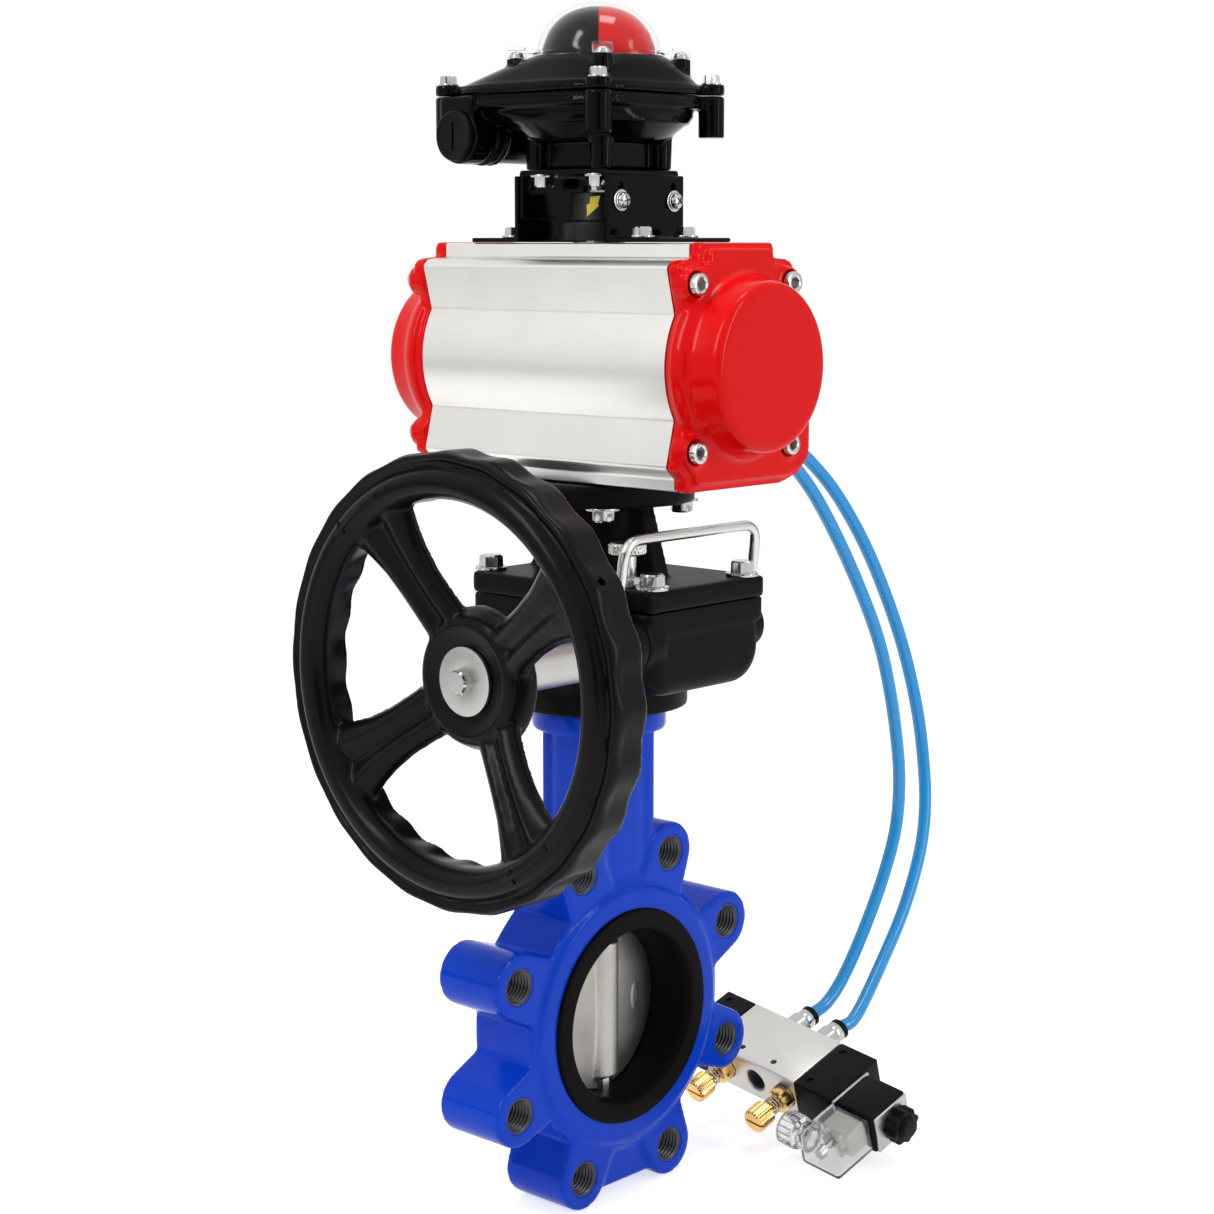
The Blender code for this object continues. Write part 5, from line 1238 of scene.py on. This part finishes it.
def make_coil(look):
    """The coil on its steel yoke, with the lobed nut that holds it."""
    paint = finishes(look)
    bm = box(bmesh.new(), (107.2, 10.8, 0.5), (131.5, 37, 22.5), 1.6)
    box(bm, (110, 8.9, 4), (129, 12, 19), 1.0)
    finish(work(bm), "coil_body", paint["plastic"], "base", ["solenoid_coil"], SOLENOID, 30)
    yoke = box(bmesh.new(), (105.1, 9.6, 1.2), (106.9, 37, 21.8), 0.4)
    box(yoke, (131.8, 11.8, 1.2), (133.0, 36, 21.8), 0.3)
    finish(work(yoke), "coil_yoke", paint["satin_steel"], "base", place=SOLENOID, sharp=30)
    lobes = []
    for k in range(96):
        a = 2 * math.pi * k / 96
        r = 8.9 + 0.7 * math.cos(8 * a)
        lobes.append((22 + r * math.cos(a), 12 + r * math.sin(a)))
    nut = slab(bmesh.new(), lobes, 133.4, 140.4, "X", 1.0)
    lathe(nut, eased([(0, 139), (6.2, 139), (5.4, 142.7), (0, 142.7)], 0.8, 3), (0, 22, 12), "X", 48)
    finish(work(nut), "coil_cap", paint["plastic"], "coil_nut", ["coil_nut"], SOLENOID, 30)


def make_cable_plug(look):
    """The clear cable plug with its terminals, screw and ribbed gland nut."""
    paint = finishes(look)
    shell = work(box(bmesh.new(), (105.8, 37.4, 1), (130.5, 64, 20.5), 1.6))
    inside = box(bmesh.new(), (107.4, 36, 2.6), (128.9, 62.4, 18.9), 0.8)
    cut(shell, inside, rod(bmesh.new(), (112, 55, 11.5), (80, 55, 11.5), 4.5, 40))
    finish(shell, "plug_shell", paint["smoky"], "base", ["cable_plug"], SOLENOID, 30)
    gland = bmesh.new()
    for low, high, radius in ((101, 105.9, 7.4), (89.2, 99.6, 8.6)):
        ring = eased([(4.6, low), (radius, low), (radius, high), (4.6, high)], 0.7, 3, True)
        lathe(gland, ring, (0, 55, 11.5), "X", 64)
    for k in range(16):
        a = 2 * math.pi * k / 16
        at = Vector((0, 55 + 8.5 * math.cos(a), 11.5 + 8.5 * math.sin(a)))
        rod(gland, at + Vector((90.5, 0, 0)), at + Vector((98.4, 0, 0)), 0.45, 10)
    finish(work(gland), "gland_nut", paint["smoky"], "base", place=SOLENOID, sharp=30)
    core = box(bmesh.new(), (110, 38.2, 4.2), (126.5, 50, 17.4), 0.8)
    for t in (6.6, 10.8, 15.0):
        rod(core, (113.5, 50, t), (113.5, 53.2, t), 1.7, 24)
        rod(core, (122.5, 50, t), (122.5, 53.2, t), 1.7, 24)
    finish(work(core), "terminal_block", paint["nylon"], "base", place=SOLENOID, sharp=30)
    screw = rod(bmesh.new(), (118, 40, 10.8), (118, 61.6, 10.8), 1.4, 24)
    rod(screw, (118, 58.8, 10.8), (118, 61.8, 10.8), 2.9, 32)
    finish(work(screw), "plug_screw", paint["zinc"], "base", place=SOLENOID, sharp=30)


def make_exhausts(look):
    """The two brass speed controls: hexagon body, spring and knurled, slotted knob."""
    paint = finishes(look)
    for k, at in enumerate(EXHAUST_L, 1):
        turn = Matrix.Translation((at, 0, MID_T)) @ Matrix.Rotation(-math.pi / 2, 4, "X")
        body = work(hex_head(bmesh.new(), 12.4, 6.8, base=BLOCK_W + 0.3))
        cut(body, rod(bmesh.new(), (0, 0, BLOCK_W - 4), (0, 0, BLOCK_W + 20), 2.4, 32))
        finish(body, f"speed_control_{k}", paint["brass"], "base", [f"muffler_body_{k}"],
               SOLENOID @ turn, 25)
        knob = knurled(bmesh.new(), 6.5, 0.5, BLOCK_W + 14, BLOCK_W + 25, 20, False, 12, 0.9)
        rod(knob, (0, 0, BLOCK_W - 3), (0, 0, BLOCK_W + 14.5), 2.0, 32)
        knob = work(knob)
        slot = box(bmesh.new(), (-8, -0.7, BLOCK_W + 23.4), (8, 0.7, BLOCK_W + 30))
        cut(knob, slot)
        finish(knob, f"speed_knob_{k}", paint["brass"], f"needle_{k}", [f"needle_knob_{k}"],
               SOLENOID @ turn, 30)
        coil, low, high = [], BLOCK_W + 7.9, BLOCK_W + 13.3
        for i in range(97):
            a = 2 * math.pi * i / 32
            coil.append((4.2 * math.cos(a), 4.2 * math.sin(a), low + (high - low) * i / 96))
        spring = work(wire(bmesh.new(), coil, 0.42, 10))
        finish(spring, f"control_spring_{k}", paint["satin_steel"], "base", [f"needle_spring_{k}"],
               SOLENOID @ turn, 40)


def make_fittings(look):
    """The two push-in fittings that hold the air tubes in the block."""
    paint = finishes(look)
    for at, letter in zip(OUTLET_L, "ab"):
        turn = Matrix.Translation((at, 0, MID_T)) @ Matrix.Rotation(math.pi / 2, 4, "X")
        bm = hex_head(bmesh.new(), 12.0, 11.4, base=0.35)
        sleeve = [(0, 11), (5.6, 11), (5.6, 15.8), (3.7, 15.8), (3.7, 12), (0, 12)]
        lathe(bm, eased(sleeve, 0.4, 2), count=48)
        rod(bm, (0, 0, -8), (0, 0, 0.5), 4.0, 32)
        node = f"push_in_fitting_{letter}"
        finish(work(bm), f"tube_fitting_{letter}", paint["zinc"], "base", [node],
               SOLENOID @ turn, 25)
        ring = eased([(3.7, 15.9), (5.6, 15.9), (5.6, 19.1), (3.7, 19.1)], 0.6, 3, True)
        collar = work(lathe(bmesh.new(), ring, count=48))
        finish(collar, f"fitting_collar_{letter}", paint["plastic"], "base",
               place=SOLENOID @ turn, sharp=30)


# ---------------------------------------------------------------- air tubes

TUBE_A = [
    (75.3, -12, 280), (89, -12, 279.6), (104, -12, 275.5), (118, -12, 267), (131, -12, 256), (153, -12, 235),
    (181, -12, 199), (206, -12, 159), (219, -12, 126), (227, -12, 93), (229, -12, 70), (226.5, -11.5, 47),
    (216, -11, 22), (200, -10.5, -4), (184, -9.9, -25),
]
TUBE_B = [
    (75.3, 12, 280), (90, 12, 280), (108, 12, 279), (130, 12, 275.2), (152, 12, 267), (176, 12, 253),
    (197, 8, 232), (221, 4, 198), (243.5, 0, 153), (255, -4, 113), (257.5, -8, 80), (254, -12, 55),
    (244, -16, 33), (225, -20, 7), (201, -24, -15.5),
]
TUBE_D = 7.0


def smooth_route(route, per_span=8):
    """Points along a Catmull-Rom curve through the route."""
    ends = [route[0] * 2 - route[1]] + route + [route[-1] * 2 - route[-2]]
    points = []
    for a, b, c, d in zip(ends, ends[1:], ends[2:], ends[3:]):
        for k in range(per_span):
            t = k / per_span
            bend = 2 * a - 5 * b + 4 * c - d
            twist = 3 * b - a - 3 * c + d
            points.append((2 * b + (c - a) * t + bend * t**2 + twist * t**3) / 2)
    return points + [route[-1]]


def make_tube(look, letter, route, at):
    """One blue air tube from the cylinder's port to the solenoid valve's outlet."""
    into = STEM.inverted() @ SOLENOID
    route = [Vector(p) for p in route] + [into @ Vector((at, w, MID_T)) for w in (-32.0, -19.5)]
    points = [STEM @ point for point in smooth_route(route)]
    curve = bpy.data.curves.new(f"tube_{letter}", "CURVE")
    curve.dimensions = "3D"
    curve.bevel_depth = TUBE_D / 2 * MM
    curve.bevel_resolution = 6
    curve.use_fill_caps = True
    spline = curve.splines.new("POLY")
    spline.points.add(len(points) - 1)
    for spot, point in zip(spline.points, points):
        spot.co = (*point, 1)
    spline.use_smooth = True
    curve.materials.append(finishes(look)["tube"])
    tube = bpy.data.objects.new(f"tube_{letter}", curve)
    bpy.context.scene.collection.objects.link(tube)
    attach(tube, "base")
    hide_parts(f"air_tube_{letter}")


# ---------------------------------------------------------------- pieces inside


def finish_inside(look):
    """Gives the CAD nodes that stay inside the castings their finishes."""
    paint = finishes(look)
    inside = {
        "steel": ("valve_stem", "lower_stem", "drive_shaft", "pinion", "switch_shaft", "valve_spool"),
        "satin_steel": ("piston_front", "piston_rear"),
        "bronze": ("worm_wheel",),
        "nylon": ("stem_bush",),
        "plastic": ("switch_cams", "microswitch_pair"),
    }
    for name, nodes in inside.items():
        for node in nodes:
            mesh = frame["nodes"][node].data
            mesh.materials.clear()
            mesh.materials.append(paint[name])


# ---------------------------------------------------------------- stage


def seen_directly(nodes, links):
    """A socket that is 1 for what the camera, a reflection or clear plastic shows, and 0 for light."""
    path = nodes.new("ShaderNodeLightPath")
    total = path.outputs["Is Camera Ray"]
    for name in ("Is Glossy Ray", "Is Transmission Ray"):
        either = nodes.new("ShaderNodeMath")
        either.operation = "MAXIMUM"
        links.new(total, either.inputs[0])
        links.new(path.outputs[name], either.inputs[1])
        total = either.outputs[0]
    return total


def light_world():
    """A white surround for the camera and reflections, and soft light from all round."""
    world = bpy.data.worlds.new("studio")
    bpy.context.scene.world = world
    world.use_nodes = True
    nodes, links = world.node_tree.nodes, world.node_tree.links
    plain = nodes["Background"]
    plain.inputs["Color"].default_value = (1, 1, 1, 1)
    plain.inputs["Strength"].default_value = 0.42
    seen = nodes.new("ShaderNodeBackground")
    seen.inputs["Color"].default_value = (1, 1, 1, 1)
    mix = nodes.new("ShaderNodeMixShader")
    links.new(seen_directly(nodes, links), mix.inputs[0])
    links.new(plain.outputs[0], mix.inputs[1])
    links.new(seen.outputs[0], mix.inputs[2])
    links.new(mix.outputs[0], nodes["World Output"].inputs["Surface"])


def floor_paint():
    """White floor that reads as white to the camera and keeps a soft shadow."""
    material = bpy.data.materials.new("white floor")
    material.use_nodes = True
    nodes, links = material.node_tree.nodes, material.node_tree.links
    shader = nodes["Principled BSDF"]
    shader.inputs["Base Color"].default_value = (0.93, 0.93, 0.93, 1)
    shader.inputs["Roughness"].default_value = 0.9
    shader.inputs["Specular IOR Level"].default_value = 0.1
    glow = nodes.new("ShaderNodeMath")
    glow.operation = "MULTIPLY"
    glow.inputs[1].default_value = 0.66
    shader.inputs["Emission Color"].default_value = (1, 1, 1, 1)
    links.new(seen_directly(nodes, links), glow.inputs[0])
    links.new(glow.outputs[0], shader.inputs["Emission Strength"])
    return material


def aim(obj, toward, distance):
    """Puts a lamp or card at a distance in the direction `toward`, turned to the object's middle."""
    toward = Vector(toward).normalized()
    obj.location = LAMP_AIM + toward * distance
    obj.rotation_euler = toward.to_track_quat("Z", "Y").to_euler()
    return obj


def area_lamp(name, toward, distance, size, power):
    """A soft lamp that looks at the middle of the object from the direction `toward`."""
    data = bpy.data.lights.new(name, "AREA")
    data.shape = "RECTANGLE"
    data.size, data.size_y = size
    data.energy = power
    lamp = bpy.data.objects.new(name, data)
    bpy.context.scene.collection.objects.link(lamp)
    return aim(lamp, toward, distance)


def dark_flag(name, toward, distance, size):
    """A dark card that only reflections see, which gives metal and gloss paint their dark bands."""
    bm = bmesh.new()
    bmesh.ops.create_grid(bm, x_segments=1, y_segments=1, size=0.5)
    card = work(bm)
    card.name = name
    card.scale = (*size, 1)
    aim(card, toward, distance)
    card.visible_camera = card.visible_diffuse = card.visible_shadow = False
    card.visible_transmission = False
    if "dark card" not in bpy.data.materials:
        black = bpy.data.materials.new("dark card")
        black.use_nodes = True
        black.node_tree.nodes["Principled BSDF"].inputs["Base Color"].default_value = (0.01, 0.01, 0.01, 1)
    card.data.materials.append(bpy.data.materials["dark card"])
    return card


def make_stage(look):
    """Floor, soft lamps, white surround and the camera at the photograph's place."""
    camera_data = bpy.data.cameras.new("camera")
    camera_data.lens = look.lens
    camera_data.sensor_width = 36
    camera = bpy.data.objects.new("camera", camera_data)
    bpy.context.scene.collection.objects.link(camera)
    camera.location = STEM @ Vector(CAMERA_AT)
    camera.rotation_euler = Euler((math.radians(90 - CAMERA_DOWN_DEG), 0, math.radians(-CAMERA_TURN_DEG)))
    bpy.context.scene.camera = camera
    bm = bmesh.new()
    bmesh.ops.create_grid(bm, x_segments=1, y_segments=1, size=12)
    floor = work(bm)
    floor.name = "floor"
    floor.location.z = -0.0005
    floor.data.materials.append(floor_paint())
    light_world()
    lamps = [
        area_lamp("key", (-0.9, 0.1, 0.75), 1.5, (0.22, 0.95), look.key_power),
        area_lamp("fill", (0.35, -1.0, 0.35), 1.6, (0.18, 1.1), look.key_power * 0.7),
        area_lamp("top", (0.1, -0.1, 1.0), 1.5, (0.4, 0.4), look.key_power * 0.5),
    ]
    flags = [
        dark_flag("front_flag", (-0.7, -0.72, -0.05), 1.9, (1.0, 1.5)),
        dark_flag("side_flag", (0.9, -0.2, 0.15), 1.7, (0.5, 1.6)),
        dark_flag("far_flag", (-0.75, 0.75, -0.2), 1.8, (0.7, 0.6)),
    ]
    bpy.context.scene.view_settings.view_transform = "Standard"


# ---------------------------------------------------------------- add-on


class ValveLook(PropertyGroup):
    """Sizes and colours of the valve's dressing."""

    body_blue: FloatVectorProperty(
        name="Body blue", description="Colour of the epoxy on the valve body", subtype="COLOR",
        default=(0.003, 0.06, 0.66), min=0, max=1)
    cap_red: FloatVectorProperty(
        name="Cap red", description="Colour of the actuator's end caps", subtype="COLOR",
        default=(0.86, 0.003, 0.003), min=0, max=1)
    tube_blue: FloatVectorProperty(
        name="Tube blue", description="Colour of the air tubes", subtype="COLOR",
        default=(0.008, 0.42, 0.92), min=0, max=1)
    grip_waves: IntProperty(
        name="Grip waves", description="Finger grips round the handwheel", default=24, min=0, max=60)
    grip_depth: FloatProperty(
        name="Grip depth", description="Depth of a finger grip, in millimetres", default=1.6, min=0, max=3)
    thread_pitch: FloatProperty(
        name="Thread pitch", description="Pitch of the lug threads, in millimetres",
        default=2.0, min=0.5, max=4)
    key_power: FloatProperty(
        name="Key power", description="Power of the main lamp", unit="POWER", default=9.0, min=0)
    lens: FloatProperty(
        name="Lens", description="Focal length of the camera", subtype="DISTANCE_CAMERA",
        default=71.43, min=1)


class VALVE_OT_stage(Operator):
    """Set the floor, lamps, surround and camera."""

    bl_idname = "valve.stage"
    bl_label = "Stage"

    def execute(self, context):
        make_stage(context.scene.valve_look)
        return {"FINISHED"}


class VALVE_OT_tubes(Operator):
    """Lay the two blue air tubes."""

    bl_idname = "valve.tubes"
    bl_label = "Air tubes"

    def execute(self, context):
        make_tube(context.scene.valve_look, "a", TUBE_A, OUTLET_L[0])
        make_tube(context.scene.valve_look, "b", TUBE_B, OUTLET_L[1])
        return {"FINISHED"}


class VALVE_OT_casting(Operator):
    """Model the lug body and its threads."""

    bl_idname = "valve.casting"
    bl_label = "Body casting"

    def execute(self, context):
        make_casting(context.scene.valve_look)
        return {"FINISHED"}


class VALVE_OT_liner(Operator):
    """Model the rubber seat."""

    bl_idname = "valve.liner"
    bl_label = "Seat liner"

    def execute(self, context):
        make_liner(context.scene.valve_look)
        return {"FINISHED"}


class VALVE_OT_disc(Operator):
    """Model the cast disc."""

    bl_idname = "valve.disc"
    bl_label = "Disc"

    def execute(self, context):
        make_disc(context.scene.valve_look)
        return {"FINISHED"}


class VALVE_OT_gearbox(Operator):
    """Model the worm box, its cover with the column, and the worm."""

    bl_idname = "valve.gearbox"
    bl_label = "Gearbox"

    def execute(self, context):
        make_gearbox(context.scene.valve_look)
        make_gearbox_cover(context.scene.valve_look)
        make_worm(context.scene.valve_look)
        return {"FINISHED"}


class VALVE_OT_clutch(Operator):
    """Model the journals, the bail and the lock pin."""

    bl_idname = "valve.clutch"
    bl_label = "Clutch"

    def execute(self, context):
        make_clutch(context.scene.valve_look)
        make_lock_pin(context.scene.valve_look)
        return {"FINISHED"}


class VALVE_OT_handwheel(Operator):
    """Model the pressed handwheel with its washer and bolt."""

    bl_idname = "valve.handwheel"
    bl_label = "Handwheel"

    def execute(self, context):
        make_handwheel(context.scene.valve_look)
        make_hub_bolt(context.scene.valve_look)
        return {"FINISHED"}


class VALVE_OT_actuator(Operator):
    """Model the cylinder, its end caps and its air ports."""

    bl_idname = "valve.actuator"
    bl_label = "Actuator"

    def execute(self, context):
        make_extrusion(context.scene.valve_look)
        make_caps(context.scene.valve_look)
        make_ports(context.scene.valve_look)
        return {"FINISHED"}


class VALVE_OT_bracket(Operator):
    """Model the bracket and the coupling inside it."""

    bl_idname = "valve.bracket"
    bl_label = "Bracket"

    def execute(self, context):
        make_bracket(context.scene.valve_look)
        make_coupler(context.scene.valve_look)
        return {"FINISHED"}


class VALVE_OT_switch_box(Operator):
    """Model the switch box, its cover and its blanking plug."""

    bl_idname = "valve.switch_box"
    bl_label = "Switch box"

    def execute(self, context):
        make_switch_base(context.scene.valve_look)
        make_switch_lid(context.scene.valve_look)
        make_plug(context.scene.valve_look)
        return {"FINISHED"}


class VALVE_OT_dome(Operator):
    """Model the clear dome and the drum under it."""

    bl_idname = "valve.dome"
    bl_label = "Dome"

    def execute(self, context):
        make_dome(context.scene.valve_look)
        make_indicator(context.scene.valve_look)
        return {"FINISHED"}


class VALVE_OT_solenoid(Operator):
    """Model the spool block, the coil and the cable plug."""

    bl_idname = "valve.solenoid"
    bl_label = "Solenoid valve"

    def execute(self, context):
        make_block(context.scene.valve_look)
        make_coil(context.scene.valve_look)
        make_cable_plug(context.scene.valve_look)
        return {"FINISHED"}


class VALVE_OT_controls(Operator):
    """Model the speed controls and the push-in fittings."""

    bl_idname = "valve.controls"
    bl_label = "Controls"

    def execute(self, context):
        make_exhausts(context.scene.valve_look)
        make_fittings(context.scene.valve_look)
        return {"FINISHED"}


class VALVE_OT_inside(Operator):
    """Finish the nodes inside the castings."""

    bl_idname = "valve.inside"
    bl_label = "Inside"

    def execute(self, context):
        finish_inside(context.scene.valve_look)
        return {"FINISHED"}


OPERATORS = (
    VALVE_OT_stage, VALVE_OT_tubes, VALVE_OT_casting, VALVE_OT_liner, VALVE_OT_disc, VALVE_OT_gearbox,
    VALVE_OT_clutch, VALVE_OT_handwheel, VALVE_OT_actuator, VALVE_OT_bracket, VALVE_OT_switch_box,
    VALVE_OT_dome, VALVE_OT_solenoid, VALVE_OT_controls, VALVE_OT_inside,
)


class VALVE_PT_dressing(Panel):
    """Sidebar panel with the sizes, the colours and a button for each piece."""

    bl_label = "Butterfly valve"
    bl_idname = "VALVE_PT_dressing"
    bl_space_type = "VIEW_3D"
    bl_region_type = "UI"
    bl_category = "Valve"

    def draw(self, context):
        for name in ValveLook.__annotations__:
            self.layout.prop(context.scene.valve_look, name)
        for operator in OPERATORS:
            self.layout.operator(operator.bl_idname)


def register():
    """Registers the classes and hangs the settings on the scene."""
    for cls in (ValveLook, *OPERATORS, VALVE_PT_dressing):
        bpy.utils.register_class(cls)
    bpy.types.Scene.valve_look = PointerProperty(type=ValveLook)


def unregister():
    """Takes the settings and the classes away again."""
    del bpy.types.Scene.valve_look
    for cls in (VALVE_PT_dressing, *reversed(OPERATORS), ValveLook):
        bpy.utils.unregister_class(cls)


def main():
    """Makes every piece in order."""
    register()
    for operator in OPERATORS:
        getattr(bpy.ops.valve, operator.bl_idname.split(".")[1])()
    bpy.context.view_layer.update()


if __name__ == "__main__":
    main()
